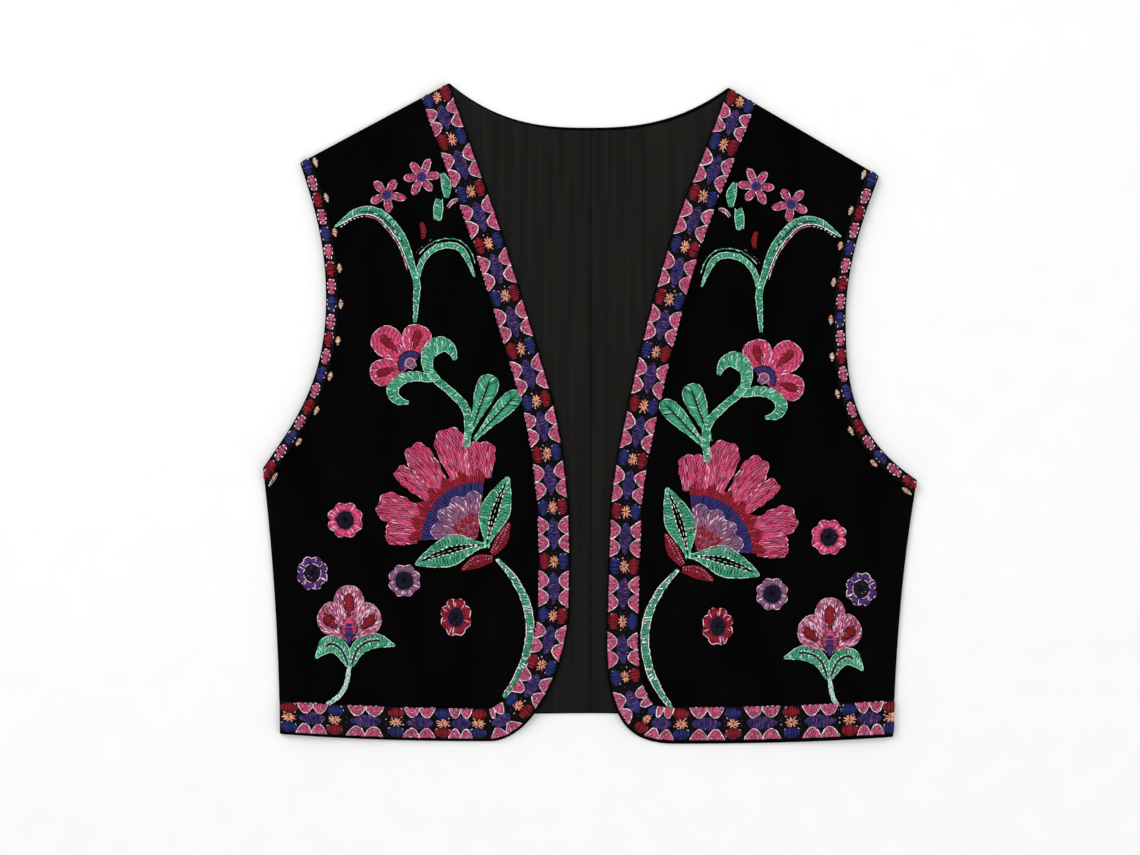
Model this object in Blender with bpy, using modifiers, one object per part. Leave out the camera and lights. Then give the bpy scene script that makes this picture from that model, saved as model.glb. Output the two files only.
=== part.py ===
"""An open folk vest laid flat: two velvet fronts with applied edge bands, lying on a lined back.

Lengths below are in millimetres, and a point is turned into metres when it becomes a vertex. The vest lies on z = 0
with its back underneath and its neck towards +Y. The wearer's left front lies at +X and the right front at -X. An
outline is worked out with x as the distance out from the centre line, and the side's sign then places it.
"""

from collections import namedtuple

import bmesh
import bpy
import numpy as np
from mathutils import Vector
from mathutils.kdtree import KDTree

MM = 0.001

# Cloth
SHELL_WALL = 1.2
LINING_WALL = 1.0
FRONT_WALL = 1.8
BAND_WALL = 1.0
SEAM_GAP = 0.3
LINING_REST = SHELL_WALL + SEAM_GAP
FRONT_REST = LINING_REST + LINING_WALL + SEAM_GAP

# Bands: how far each is set back from its edge, and its width
EDGE_MARGIN = 0.8
EDGE_BAND = 21.4
ARMHOLE_MARGIN = 1.2
ARMHOLE_BAND = 7.2
ACROSS_BAND = 3
END_BLEND = 26.0

# Back
BACK_NECK_Y = 200.3
BACK_NECK_ROUNDNESS = 2.6
BACK_HEM_Y = -210.0
BACK_SEAM_X = 0.7
HEM_CLEARANCE = 1.0
HEM_FALL = 17.0

# Lining: its inset from the back's edges, and its rows and columns as shares of the back's height and width
LINING_INSET = 1.2
BACK_WIDTH = 440.0
BACK_HEIGHT = 420.0
CLOSEST_WIDTH = 340.0
NECK_SHARE = 0.24
UNDERARM_SHARE = 0.45
ROWS_BELOW = 8
ROWS_ABOVE = 12
COLUMNS_FROM_SEAM = (0.008, 0.018, 0.03, 0.05, 0.085, 0.14, 0.2, 0.5 - NECK_SHARE, 0.34, 0.42)

# Counts of cells
HEM_CELLS = 6
CORNER_CELLS = 10
EDGE_CELLS = 16
SEAM_CELLS = 8
ARMHOLE_CELLS = 13
BACK_HEM_CELLS = 16
BACK_SEAM_CELLS = 6
BACK_ARMHOLE_CELLS = 18
BACK_NECK_CELLS = 18
DENSE = 400

Side = namedtuple(
    "Side",
    "sign neck tip armhole underarm underarm_run lower_pull upper_pull seam_middle hem corner_start corner_end "
    "corner_pull hem_margin hem_band",
)
SIDES = {
    "left": Side(
        sign=1,
        neck=(96.6, 228.2),
        tip=(202.3, 166.3),
        armhole=(179.0, 66.0),
        underarm=(228.9, -46.6),
        underarm_run=(-0.832, 0.555),
        lower_pull=(52.0, 50.0),
        upper_pull=(38.0, 30.0),
        seam_middle=(217.7, -130.6),
        hem=(212.1, -226.5),
        corner_start=(60.0, -231.4),
        corner_end=(11.0, -160.0),
        corner_pull=(30.0, 58.0),
        hem_margin=2.4,
        hem_band=23.4,
    ),
    "right": Side(
        sign=-1,
        neck=(98.4, 231.4),
        tip=(203.0, 175.4),
        armhole=(184.8, 80.0),
        underarm=(228.9, -38.2),
        underarm_run=(-0.566, 0.824),
        lower_pull=(38.0, 58.0),
        upper_pull=(40.0, 30.0),
        seam_middle=(220.5, -130.6),
        hem=(217.0, -224.4),
        corner_start=(70.0, -229.6),
        corner_end=(14.0, -130.0),
        corner_pull=(26.0, 55.0),
        hem_margin=1.8,
        hem_band=21.4,
    ),
}

# The front edge: height, and how far each front's edge lies from the centre line there
EdgeRow = namedtuple("EdgeRow", "y left right")
FRONT_EDGE = (
    EdgeRow(-90, 13.0, 13.7),
    EdgeRow(-50, 15.3, 15.9),
    EdgeRow(0, 24.7, 23.5),
    EdgeRow(50, 36.0, 37.5),
    EdgeRow(100, 49.3, 52.8),
    EdgeRow(140, 62.2, 65.7),
    EdgeRow(180, 78.0, 80.0),
)

# Soft folds and ease of the laid fronts: x is out from the centre, turn is the long axis's angle from outwards
Fold = namedtuple("Fold", "side x y turn half_length half_width height")
FOLDS = (
    Fold("left", 128, 62, 82, 118, 58, 2.4),
    Fold("left", 118, -112, 12, 92, 74, 2.0),
    Fold("left", 168, -72, 142, 62, 24, 1.7),
    Fold("left", 148, 118, 118, 60, 22, 1.3),
    Fold("left", 92, -18, 74, 84, 24, 1.2),
    Fold("left", 16, -62, 90, 84, 34, 1.5),
    Fold("left", 30, -206, 40, 48, 30, 1.4),
    Fold("right", 132, 58, 86, 122, 60, 2.5),
    Fold("right", 124, -106, 8, 88, 78, 1.8),
    Fold("right", 172, -58, 132, 66, 25, 1.9),
    Fold("right", 142, 124, 110, 66, 24, 1.1),
    Fold("right", 84, -30, 80, 76, 26, 1.3),
    Fold("right", 22, -30, 78, 90, 34, 1.3),
    Fold("right", 36, -196, 48, 52, 32, 1.6),
)
# Ripples of the lining beside the centre back seam, x across the whole vest
LINING_RIPPLES = (
    Fold("both", -9, 58, 90, 118, 9, 0.8),
    Fold("both", 8, 96, 90, 84, 8, 0.5),
    Fold("both", -5, -92, 90, 92, 7, 0.5),
)

# Finish
VELVET = ((0.012, 0.011, 0.014), 0.95)
LINING = ((0.030, 0.028, 0.027), 0.55)
BAND = ((0.30, 0.07, 0.16), 0.60)


def clear_scene():
    """Removes what the startup scene holds."""
    for old in list(bpy.data.objects):
        bpy.data.objects.remove(old)


def finish(name, colour, roughness):
    """A plain cloth material."""
    made = bpy.data.materials.new(name)
    made.use_nodes = True
    shader = made.node_tree.nodes["Principled BSDF"]
    shader.inputs["Base Color"].default_value = (*colour, 1.0)
    shader.inputs["Roughness"].default_value = roughness
    shader.inputs["Metallic"].default_value = 0.0
    made.diffuse_color = (*colour, 1.0)
    return made


def smoothstep(t):
    """A share that leaves 0 and reaches 1 with no slope, and stays at them outside."""
    t = np.clip(t, 0.0, 1.0)
    return t * t * (3.0 - 2.0 * t)


def bezier(*controls):
    """A dense line along the cubic or quadratic curve of these control points."""
    points = [np.asarray(c, float)[None, :] for c in controls]
    t = np.linspace(0.0, 1.0, DENSE)[:, None]
    while len(points) > 1:
        points = [a + (b - a) * t for a, b in zip(points, points[1:])]
    return points[0]


def smooth_line(points):
    """A dense line through the points, each span a cubic whose end slopes follow its neighbours."""
    points = np.asarray(points, float)
    slopes = np.gradient(points, axis=0)
    t = np.linspace(0.0, 1.0, DENSE // 8)[:, None]
    spans = [
        (2 * t**3 - 3 * t**2 + 1) * a + (t**3 - 2 * t**2 + t) * da + (3 * t**2 - 2 * t**3) * b + (t**3 - t**2) * db
        for a, b, da, db in zip(points, points[1:], slopes, slopes[1:])
    ]
    return joined(*spans)


def joined(*lines):
    """The lines end to end, each meeting point kept once."""
    return np.concatenate([lines[0]] + [line[1:] for line in lines[1:]])


def lengths_of(line):
    """The distance along the line at each of its points."""
    return np.concatenate([[0.0], np.cumsum(np.linalg.norm(np.diff(line, axis=0), axis=1))])


def at(line, where):
    """The points of the line at these distances along it."""
    along = lengths_of(line)
    return np.stack([np.interp(where, along, line[:, k]) for k in (0, 1)], axis=1)


def evenly(line, cells):
    """The ends of this many even cells along the line."""
    return at(line, np.linspace(0.0, lengths_of(line)[-1], cells + 1))


def unit(vector):
    """The vector at length 1."""
    return np.asarray(vector, float) / np.linalg.norm(vector)


def hem_line(side):
    """The front's hem, from the side seam to where its rounded corner starts."""
    level = (np.mean([side.hem[0], side.corner_start[0]]), side.corner_start[1])
    return bezier(side.hem, level, side.corner_start)


def corner_line(side):
    """The rounded corner, from the hem up to the front edge."""
    (start_x, start_y), (end_x, end_y) = side.corner_start, side.corner_end
    along, down = side.corner_pull
    return bezier(side.corner_start, (start_x - along, start_y), (end_x, end_y - down), side.corner_end)


def edge_line(name):
    """The front edge, from the rounded corner up to the neck point."""
    side = SIDES[name]
    rows = [(getattr(row, name), row.y) for row in FRONT_EDGE if row.y > side.corner_end[1]]
    return smooth_line([side.corner_end, *rows, side.neck])


def seam_line(side):
    """The side seam, from the hem up to the underarm through its middle point."""
    hem, middle, underarm = (np.array(p) for p in (side.hem, side.seam_middle, side.underarm))
    return bezier(hem, 2.0 * middle - (hem + underarm) / 2.0, underarm)


def armhole_line(side):
    """The armhole, from the underarm through its deepest point to the shoulder tip."""
    underarm, deepest, tip = (np.array(p) for p in (side.underarm, side.armhole, side.tip))
    below, above = np.array([0.0, side.lower_pull[1]]), np.array([0.0, side.upper_pull[0]])
    into_tip = unit(tip - (deepest + above))
    lower = bezier(underarm, underarm + side.lower_pull[0] * np.array(side.underarm_run), deepest - below, deepest)
    upper = bezier(deepest, deepest + above, tip - side.upper_pull[1] * into_tip, tip)
    return joined(lower, upper)


def back_hem_y(x):
    """The height of the back's hem at x, which arches up between the side seams."""
    seam_x, seam_y = (np.where(x > 0, SIDES["left"].hem[k], SIDES["right"].hem[k]) for k in (0, 1))
    return seam_y + (BACK_HEM_Y - seam_y) * (1.0 - np.minimum(np.abs(x) / seam_x, 1.0) ** 2)


def swell(folds, x, y):
    """The height of these folds at x, y. Each is a smooth oval mound that ends at its own half sizes."""
    height = np.zeros(np.shape(x))
    for fold in folds:
        turn = np.radians(fold.turn)
        along = (x - fold.x) * np.cos(turn) + (y - fold.y) * np.sin(turn)
        across = (y - fold.y) * np.cos(turn) - (x - fold.x) * np.sin(turn)
        reach = (along / fold.half_length) ** 2 + (across / fold.half_width) ** 2
        height += fold.height * np.clip(1.0 - reach, 0.0, None) ** 2
    return height


def front_under(name, x, y):
    """The height of the front's underside: on the lining, and down to the floor past the back's hem."""
    past_hem = back_hem_y(x * SIDES[name].sign) - y - HEM_CLEARANCE
    rest = FRONT_REST * (1.0 - smoothstep(past_hem / HEM_FALL))
    return rest + swell([fold for fold in FOLDS if fold.side == name], x, y)


def front_offsets(side):
    """The lines of the front's edge strip, in from its edge at each station: the edge, then across the band."""
    stations = HEM_CELLS + CORNER_CELLS + EDGE_CELLS + 1
    share = np.clip((np.arange(stations) - HEM_CELLS) / CORNER_CELLS, 0.0, 1.0)
    margin = side.hem_margin + (EDGE_MARGIN - side.hem_margin) * share
    width = side.hem_band + (EDGE_BAND - side.hem_band) * share
    across = np.linspace(0.0, 1.0, ACROSS_BAND + 1)
    return np.concatenate([np.zeros((stations, 1)), margin[:, None] + width[:, None] * across], axis=1)


def armhole_offsets():
    """The lines of the armhole strip, in from the armhole at each station."""
    return np.tile((0.0, ARMHOLE_MARGIN, ARMHOLE_MARGIN + ARMHOLE_BAND), (ARMHOLE_CELLS + 1, 1))


def strip(stations, line, inward, offsets, start_run, end_run):
    """Points across a band along an edge: at each station, one point at each of its offsets in from the edge.

    The way across is the edge's normal, which turns to start_run and end_run near the ends, so that the band ends on
    the seams there.
    """
    along, dense_along = lengths_of(stations), lengths_of(line)
    tangents = np.stack([np.interp(along, dense_along, slope) for slope in np.gradient(line, axis=0).T], axis=1)
    tangents /= np.linalg.norm(tangents, axis=1)[:, None]
    normals = inward * np.stack([tangents[:, 1], -tangents[:, 0]], axis=1)
    across = normals.copy()
    for run, distance in ((start_run, along), (end_run, along[-1] - along)):
        share = np.clip(1.0 - distance / END_BLEND, 0.0, 1.0)[:, None] ** 2
        across = across * (1.0 - share) + unit(run) * share
    across /= (across * normals).sum(axis=1)[:, None]
    return stations[:, None, :] + across[:, None, :] * offsets[:, :, None]


def patch(bottom, top, outer, inner):
    """A grid between four edges, as a Coons patch: the two rulings added, less the corners' bilinear sheet."""
    u = np.linspace(0.0, 1.0, len(bottom))[:, None, None]
    v = np.linspace(0.0, 1.0, len(outer))[None, :, None]
    rulings = (1 - u) * outer[None] + u * inner[None] + (1 - v) * bottom[:, None] + v * top[:, None]
    corners = (1 - u) * (1 - v) * bottom[0] + u * (1 - v) * bottom[-1] + (1 - u) * v * top[0] + u * v * top[-1]
    return rulings - corners


def front_grids(name):
    """The three grids of a front: its edge strip, its armhole strip and the panel between them."""
    side = SIDES[name]
    edge = joined(hem_line(side), corner_line(side), edge_line(name))
    edge_stations = joined(
        evenly(hem_line(side), HEM_CELLS), evenly(corner_line(side), CORNER_CELLS), evenly(edge_line(name), EDGE_CELLS)
    )
    seam, armhole = seam_line(side), armhole_line(side)
    shoulder = np.array(side.tip) - np.array(side.neck)
    edge_strip = strip(edge_stations, edge, 1, front_offsets(side), seam[1] - seam[0], shoulder)
    armhole_strip = strip(
        evenly(armhole, ARMHOLE_CELLS), armhole, -1, armhole_offsets(), seam[-2] - seam[-1], -shoulder
    )
    inside, beside = edge_strip[:, -1], armhole_strip[:, -1]
    turn = HEM_CELLS + CORNER_CELLS // 2
    seam_ends = [np.linalg.norm(inside[0] - seam[0]), lengths_of(seam)[-1] - np.linalg.norm(beside[0] - seam[-1])]
    seam_run = at(seam, np.linspace(*seam_ends, SEAM_CELLS + 1))
    seam_run[0], seam_run[-1] = inside[0], beside[0]
    top = np.linspace(beside[-1], inside[-1], turn + 1)
    panel = patch(inside[: turn + 1], top, joined(seam_run, beside), inside[turn:])
    return edge_strip, armhole_strip, panel


def placed(name, grid):
    """The grid's points in metres, lying at the height of the front's underside."""
    x, y = grid[..., 0], grid[..., 1]
    return np.stack([x * SIDES[name].sign, y, front_under(name, x, y)], axis=-1) * MM


def sheet_mesh(name, grids):
    """One open surface of these grids of points, merged where they meet, with its faces pointing up."""
    surface = bmesh.new()
    for grid in grids:
        rows, columns = grid.shape[:2]
        flat = bmesh.ops.create_grid(surface, x_segments=columns - 1, y_segments=rows - 1, size=1.0)
        for vertex, point in zip(flat["verts"], grid.reshape(-1, 3)):
            vertex.co = point
    bmesh.ops.remove_doubles(surface, verts=surface.verts, dist=1e-6)
    bmesh.ops.recalc_face_normals(surface, faces=surface.faces)
    surface.normal_update()
    if sum(face.normal.z for face in surface.faces) < 0:
        bmesh.ops.reverse_faces(surface, faces=surface.faces)
    mesh = bpy.data.meshes.new(name)
    surface.to_mesh(mesh)
    surface.free()
    return mesh


def cloth(name, mesh, wall, material, collection):
    """A wall of cloth that grows up from the surface."""
    made = bpy.data.objects.new(name, mesh)
    collection.objects.link(made)
    made.data.materials.append(material)
    made.data.shade_smooth()
    thickness = made.modifiers.new("wall", "SOLIDIFY")
    thickness.thickness = wall * MM
    thickness.offset = 1.0
    return made


def moved_out(mesh, grid, distance):
    """The surface's own points at the grid's places, moved out along their normals."""
    tree = KDTree(len(mesh.vertices))
    for vertex in mesh.vertices:
        tree.insert(vertex.co, vertex.index)
    tree.balance()
    moved = np.empty(grid.shape)
    for place in np.ndindex(grid.shape[:2]):
        vertex = mesh.vertices[tree.find(Vector(grid[place]))[1]]
        moved[place] = vertex.co + vertex.normal * distance * MM
    return moved


def build_front(name, velvet, band, collection):
    """A front panel, with the wide band on its edge and hem and the narrow one on its armhole."""
    edge_strip, armhole_strip, panel = (placed(name, grid) for grid in front_grids(name))
    mesh = sheet_mesh(f"front_{name}", [edge_strip, armhole_strip, panel])
    cloth(f"front_{name}", mesh, FRONT_WALL, velvet, collection)
    for kind, grid in (("front", edge_strip), ("armhole", armhole_strip)):
        raised = moved_out(mesh, grid[:, 1:], FRONT_WALL + SEAM_GAP)
        cloth(f"{kind}_band_{name}", sheet_mesh(f"{kind}_band_{name}", [raised]), BAND_WALL, band, collection)


def signed(name, line):
    """The line at its real place across the vest."""
    return line * np.array([SIDES[name].sign, 1.0])


def back_outline():
    """The four edges of the back: its hem, its top with both shoulders and the neck, and its two sides."""
    right, left = SIDES["right"], SIDES["left"]
    x = np.linspace(-right.hem[0], left.hem[0], DENSE)
    hem = np.stack([x, back_hem_y(x)], axis=1)
    neck_right, neck_left = (signed(name, np.array(SIDES[name].neck)) for name in ("right", "left"))
    t = np.linspace(-1.0, 1.0, DENSE)[:, None]
    chord = (neck_right * (1 - t) + neck_left * (1 + t)) / 2
    drop = (chord[:, 1] - BACK_NECK_Y) * (1.0 - np.abs(t[:, 0]) ** BACK_NECK_ROUNDNESS)
    neck = chord - np.stack([np.zeros(DENSE), drop], axis=1)
    tip_right, tip_left = (signed(name, np.array(SIDES[name].tip)) for name in ("right", "left"))
    top_lines = (bezier(tip_right, neck_right), neck, bezier(neck_left, tip_left))
    sides = {
        name: (signed(name, seam_line(side)), signed(name, armhole_line(side))) for name, side in SIDES.items()
    }
    return hem, top_lines, sides


def build_back_shell(velvet, collection):
    """The back's velvet: a flat outline with half its thickness on each side, flat on the floor."""
    hem, (shoulder_right, neck, shoulder_left), sides = back_outline()
    left_seam, left_armhole = sides["left"]
    right_seam, right_armhole = sides["right"]
    round_it = joined(
        evenly(hem, BACK_HEM_CELLS),
        evenly(left_seam, BACK_SEAM_CELLS),
        evenly(left_armhole, BACK_ARMHOLE_CELLS),
        evenly(shoulder_left[::-1], 1),
        evenly(neck[::-1], BACK_NECK_CELLS),
        evenly(shoulder_right[::-1], 1),
        evenly(right_armhole[::-1], BACK_ARMHOLE_CELLS),
        evenly(right_seam[::-1], BACK_SEAM_CELLS),
    )[:-1]
    outline = bpy.data.curves.new("back_shell", "CURVE")
    outline.dimensions = "2D"
    outline.fill_mode = "BOTH"
    outline.extrude = SHELL_WALL * MM / 2
    spline = outline.splines.new("POLY")
    spline.points.add(len(round_it) - 1)
    for point, (x, y) in zip(spline.points, round_it):
        point.co = (x * MM, y * MM, 0.0, 1.0)
    spline.use_cyclic_u = True
    made = bpy.data.objects.new("back_shell", outline)
    made.location.z = SHELL_WALL * MM / 2
    outline.materials.append(velvet)
    collection.objects.link(made)


def shared(lines, breaks, share):
    """Points on lines that lie end to end, where each line takes the shares between its two breaks."""
    found = np.empty((len(share), 2))
    for line, low, high in zip(lines, breaks, breaks[1:]):
        inside = (share >= low) & (share <= high)
        found[inside] = at(line, (share[inside] - low) / (high - low) * lengths_of(line)[-1])
    return found


def back_sheet(columns, rows):
    """The Coons patch of the back's four edges, at these shares of its width and of its height."""
    hem, top_lines, sides = back_outline()
    u, v = columns[:, None, None], rows[None, :, None]
    bottom = shared([hem], (0.0, 1.0), columns)[:, None]
    top = shared(top_lines, (0.0, NECK_SHARE, 1.0 - NECK_SHARE, 1.0), columns)[:, None]
    right, left = (shared(sides[name], (0.0, UNDERARM_SHARE, 1.0), rows)[None] for name in ("right", "left"))
    low_corners = (1 - u) * sides["right"][0][0] + u * sides["left"][0][0]
    high_corners = (1 - u) * sides["right"][1][-1] + u * sides["left"][1][-1]
    rulings = (1 - u) * right + u * left + (1 - v) * bottom + v * top
    return rulings - (1 - v) * low_corners - v * high_corners


def build_back_lining(lining, collection):
    """The lining inside the back, in two halves that meet at the centre back seam."""
    edge_share = LINING_INSET / BACK_HEIGHT
    below = np.linspace(edge_share, UNDERARM_SHARE, ROWS_BELOW + 1)
    above = np.linspace(UNDERARM_SHARE, 1.0 - edge_share, ROWS_ABOVE + 1)
    rows = joined(below, above)
    from_seam = np.array([SEAM_GAP / 2 / CLOSEST_WIDTH, *COLUMNS_FROM_SEAM, 0.5 - LINING_INSET / BACK_WIDTH])
    middle = back_sheet(np.array([0.5]), rows)[..., 0]
    for name, columns in (("right", 0.5 - from_seam[::-1]), ("left", 0.5 + from_seam)):
        sheet = back_sheet(columns, rows)
        nearness = 1.0 - np.abs(2.0 * columns[:, None] - 1.0)
        x, y = sheet[..., 0] + (BACK_SEAM_X - middle) * nearness, sheet[..., 1]
        points = np.stack([x, y, LINING_REST + swell(LINING_RIPPLES, x, y)], axis=-1) * MM
        cloth(f"back_lining_{name}", sheet_mesh(f"back_lining_{name}", [points]), LINING_WALL, lining, collection)


def main():
    clear_scene()
    vest = bpy.data.collections.new("folk_vest")
    bpy.context.scene.collection.children.link(vest)
    velvet, lining, band = (finish(*each) for each in (
        ("velvet", *VELVET), ("lining", *LINING), ("embroidered_band", *BAND)
    ))
    build_back_shell(velvet, vest)
    build_back_lining(lining, vest)
    for name in SIDES:
        build_front(name, velvet, band, vest)


main()
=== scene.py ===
"""An embroidered folk vest laid flat over its solids: velvet, lining, edge bands and stitches.

Lengths are in millimetres until a mesh is made. A front is worked out with x as the distance out from the
centre line and y up towards the neck, and its side's sign then places it.
"""

import logging
from collections.abc import Callable, Sequence
from dataclasses import dataclass, field
from enum import Enum

import bmesh
import bpy
import numpy as np
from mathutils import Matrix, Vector


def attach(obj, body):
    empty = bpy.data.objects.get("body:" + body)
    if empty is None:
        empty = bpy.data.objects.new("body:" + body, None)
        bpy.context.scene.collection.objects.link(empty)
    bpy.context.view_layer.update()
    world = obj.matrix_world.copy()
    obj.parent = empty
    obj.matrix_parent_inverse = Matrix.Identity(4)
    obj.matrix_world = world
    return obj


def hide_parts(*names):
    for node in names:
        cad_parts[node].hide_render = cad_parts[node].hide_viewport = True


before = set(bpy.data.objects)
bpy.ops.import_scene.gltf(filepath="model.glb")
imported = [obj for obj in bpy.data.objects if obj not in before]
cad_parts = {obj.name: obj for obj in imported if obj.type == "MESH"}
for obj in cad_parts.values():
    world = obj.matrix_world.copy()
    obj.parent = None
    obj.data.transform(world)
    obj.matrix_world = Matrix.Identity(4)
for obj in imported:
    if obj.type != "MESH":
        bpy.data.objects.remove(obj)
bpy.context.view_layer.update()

LOG = logging.getLogger("vest")
MM = 0.001
Points = np.ndarray
Colour = tuple[float, float, float]


def smoothstep(t: Points) -> Points:
    """Rises from 0 to 1 with no slope at either end: 3t² - 2t³, and stays at 0 and 1 outside."""
    t = np.clip(t, 0.0, 1.0)
    return t * t * (3.0 - 2.0 * t)


def bezier(*controls: Sequence[float], count: int = 400) -> Points:
    """Points along a Bezier curve, by repeated linear steps between its control points.

    Args:
        controls: the control points.
        count: how many points to return.

    Returns:
        The points, evenly spaced in the curve's parameter.
    """
    points = [np.asarray(c, float)[None, :] for c in controls]
    t = np.linspace(0.0, 1.0, count)[:, None]
    while len(points) > 1:
        points = [a + (b - a) * t for a, b in zip(points, points[1:])]
    return points[0]


def smooth_line(points: Sequence[Sequence[float]], count: int = 50) -> Points:
    """A line through the points, each span a Hermite cubic whose end slopes follow its neighbours.

    Args:
        points: the points to pass through.
        count: how many points each span gets.

    Returns:
        The dense line.
    """
    points = np.asarray(points, float)
    slopes = np.gradient(points, axis=0)
    t = np.linspace(0.0, 1.0, count)[:, None]
    spans = [
        (2 * t**3 - 3 * t**2 + 1) * a + (t**3 - 2 * t**2 + t) * slope_a
        + (3 * t**2 - 2 * t**3) * b + (t**3 - t**2) * slope_b
        for a, b, slope_a, slope_b in zip(points, points[1:], slopes, slopes[1:])
    ]
    return joined(*spans)


def joined(*lines: Points) -> Points:
    """The lines end to end, each meeting point kept once."""
    return np.concatenate([lines[0]] + [line[1:] for line in lines[1:]])


def lengths_of(line: Points) -> Points:
    """The distance along the line at each of its points."""
    return np.concatenate([[0.0], np.cumsum(np.linalg.norm(np.diff(line, axis=0), axis=1))])


def at(line: Points, where: Points) -> Points:
    """The points of the line at these distances along it."""
    along = lengths_of(line)
    return at_rows(line, along, where)


def at_rows(line: Points, along: Points, where: Points) -> Points:
    """The points of the line at distances that are measured along another line of as many points."""
    return np.stack([np.interp(where, along, line[:, k]) for k in range(line.shape[1])], axis=-1)


def toward(angle: Points) -> Points:
    """The unit vectors at these angles, in radians anticlockwise from x."""
    return np.stack([np.cos(angle), np.sin(angle)], axis=-1)


def zigzag(angle: Points, pitch: float) -> Points:
    """Teeth two pitches wide, from -1/2 to 1/2: the distance of angle / pitch modulo 2 from 1, less 1/2."""
    return np.abs((angle / pitch) % 2.0 - 1.0) - 0.5


def evenly(line: Points, cells: int) -> Points:
    """The ends of this many even cells along the line."""
    return at(line, np.linspace(0.0, lengths_of(line)[-1], cells + 1))


def unit(vectors: Points) -> Points:
    """The vectors at length 1."""
    vectors = np.asarray(vectors, float)
    return vectors / np.maximum(np.linalg.norm(vectors, axis=-1, keepdims=True), 1e-9)


def left_of(line: Points) -> Points:
    """The unit normals on the left of a line: its tangents turned a quarter anticlockwise."""
    tangents = unit(np.gradient(line, axis=0))
    return np.stack([-tangents[:, 1], tangents[:, 0]], axis=1)


def distance_to(line: Points, points: Points) -> Points:
    """How far each point lies from a line, as the least distance to any of its segments."""
    flat = points.reshape(-1, 1, 2)
    start, run = line[:-1], np.diff(line, axis=0)
    share = ((flat - start) * run).sum(-1) / np.maximum((run**2).sum(-1), 1e-9)
    nearest = start + np.clip(share, 0.0, 1.0)[..., None] * run
    return np.sqrt(((flat - nearest) ** 2).sum(-1).min(axis=1)).reshape(points.shape[:-1])


@dataclass(frozen=True)
class Wall:
    """The thicknesses and rests of the cloths, from the floor up."""

    shell: float = 1.2
    lining: float = 1.0
    front: float = 1.8
    band: float = 0.9
    gap: float = 0.3

    @property
    def lining_rest(self) -> float:
        """The height of the lining's underside."""
        return self.shell + self.gap

    @property
    def front_rest(self) -> float:
        """The height of the fronts' underside where they lie on the lining."""
        return self.lining_rest + self.lining + self.gap


WALL = Wall()


@dataclass(frozen=True)
class Fold:
    """A soft oval mound of laid cloth: its middle, its long axis's turn, its half sizes and its height."""

    x: float
    y: float
    turn: float
    half_length: float
    half_width: float
    height: float

    def swell(self, x: Points, y: Points) -> Points:
        """Height · (1 - r²)², where r is 1 on the oval's rim, and 0 outside it."""
        turn = np.radians(self.turn)
        along = (x - self.x) * np.cos(turn) + (y - self.y) * np.sin(turn)
        across = (y - self.y) * np.cos(turn) - (x - self.x) * np.sin(turn)
        reach = (along / self.half_length) ** 2 + (across / self.half_width) ** 2
        return self.height * np.clip(1.0 - reach, 0.0, None) ** 2


@dataclass(frozen=True)
class Cut:
    """One front's cut: its corners, the pulls of its curves and its folds, with x out from the centre."""

    name: str
    sign: int
    neck: Sequence[float]
    tip: Sequence[float]
    armhole: Sequence[float]
    underarm: Sequence[float]
    underarm_run: Sequence[float]
    lower_pull: Sequence[float]
    upper_pull: Sequence[float]
    seam_middle: Sequence[float]
    hem: Sequence[float]
    corner_start: Sequence[float]
    corner_end: Sequence[float]
    corner_pull: Sequence[float]
    hem_margin: float
    hem_band: float
    edge_rows: Sequence[Sequence[float]]
    folds: Sequence[Fold]

    def hem_line(self) -> Points:
        """The hem, from the side seam to where its rounded corner starts: a quadratic Bezier."""
        level = (np.mean([self.hem[0], self.corner_start[0]]), self.corner_start[1])
        return bezier(self.hem, level, self.corner_start)

    def corner_line(self) -> Points:
        """The rounded corner, from the hem up to the front edge: a cubic Bezier."""
        (start_x, start_y), (end_x, end_y) = self.corner_start, self.corner_end
        along, down = self.corner_pull
        return bezier(self.corner_start, (start_x - along, start_y), (end_x, end_y - down), self.corner_end)

    def edge_line(self) -> Points:
        """The front edge, from the rounded corner up to the neck point, through its rows."""
        rows = [row for row in self.edge_rows if row[1] > self.corner_end[1]]
        return smooth_line([self.corner_end, *rows, self.neck])

    def seam_line(self) -> Points:
        """The side seam, from the hem up to the underarm through its middle point: a quadratic Bezier."""
        hem, middle, underarm = (np.array(p) for p in (self.hem, self.seam_middle, self.underarm))
        return bezier(hem, 2.0 * middle - (hem + underarm) / 2.0, underarm)

    def armhole_line(self) -> Points:
        """The armhole, from the underarm through its deepest point to the shoulder tip: two cubic Beziers."""
        underarm, deepest, tip = (np.array(p) for p in (self.underarm, self.armhole, self.tip))
        below, above = np.array([0.0, self.lower_pull[1]]), np.array([0.0, self.upper_pull[0]])
        from_underarm = underarm + self.lower_pull[0] * np.array(self.underarm_run)
        to_tip = tip - self.upper_pull[1] * unit(tip - (deepest + above))
        lower = bezier(underarm, from_underarm, deepest - below, deepest)
        return joined(lower, bezier(deepest, deepest + above, to_tip, tip))

    def shoulder_line(self) -> Points:
        """The shoulder seam, from the tip to the neck point."""
        return np.linspace(self.tip, self.neck, 30)

    def placed(self, points: Points) -> Points:
        """The points at their real place across the vest."""
        return points * np.array([self.sign, 1.0])


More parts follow.
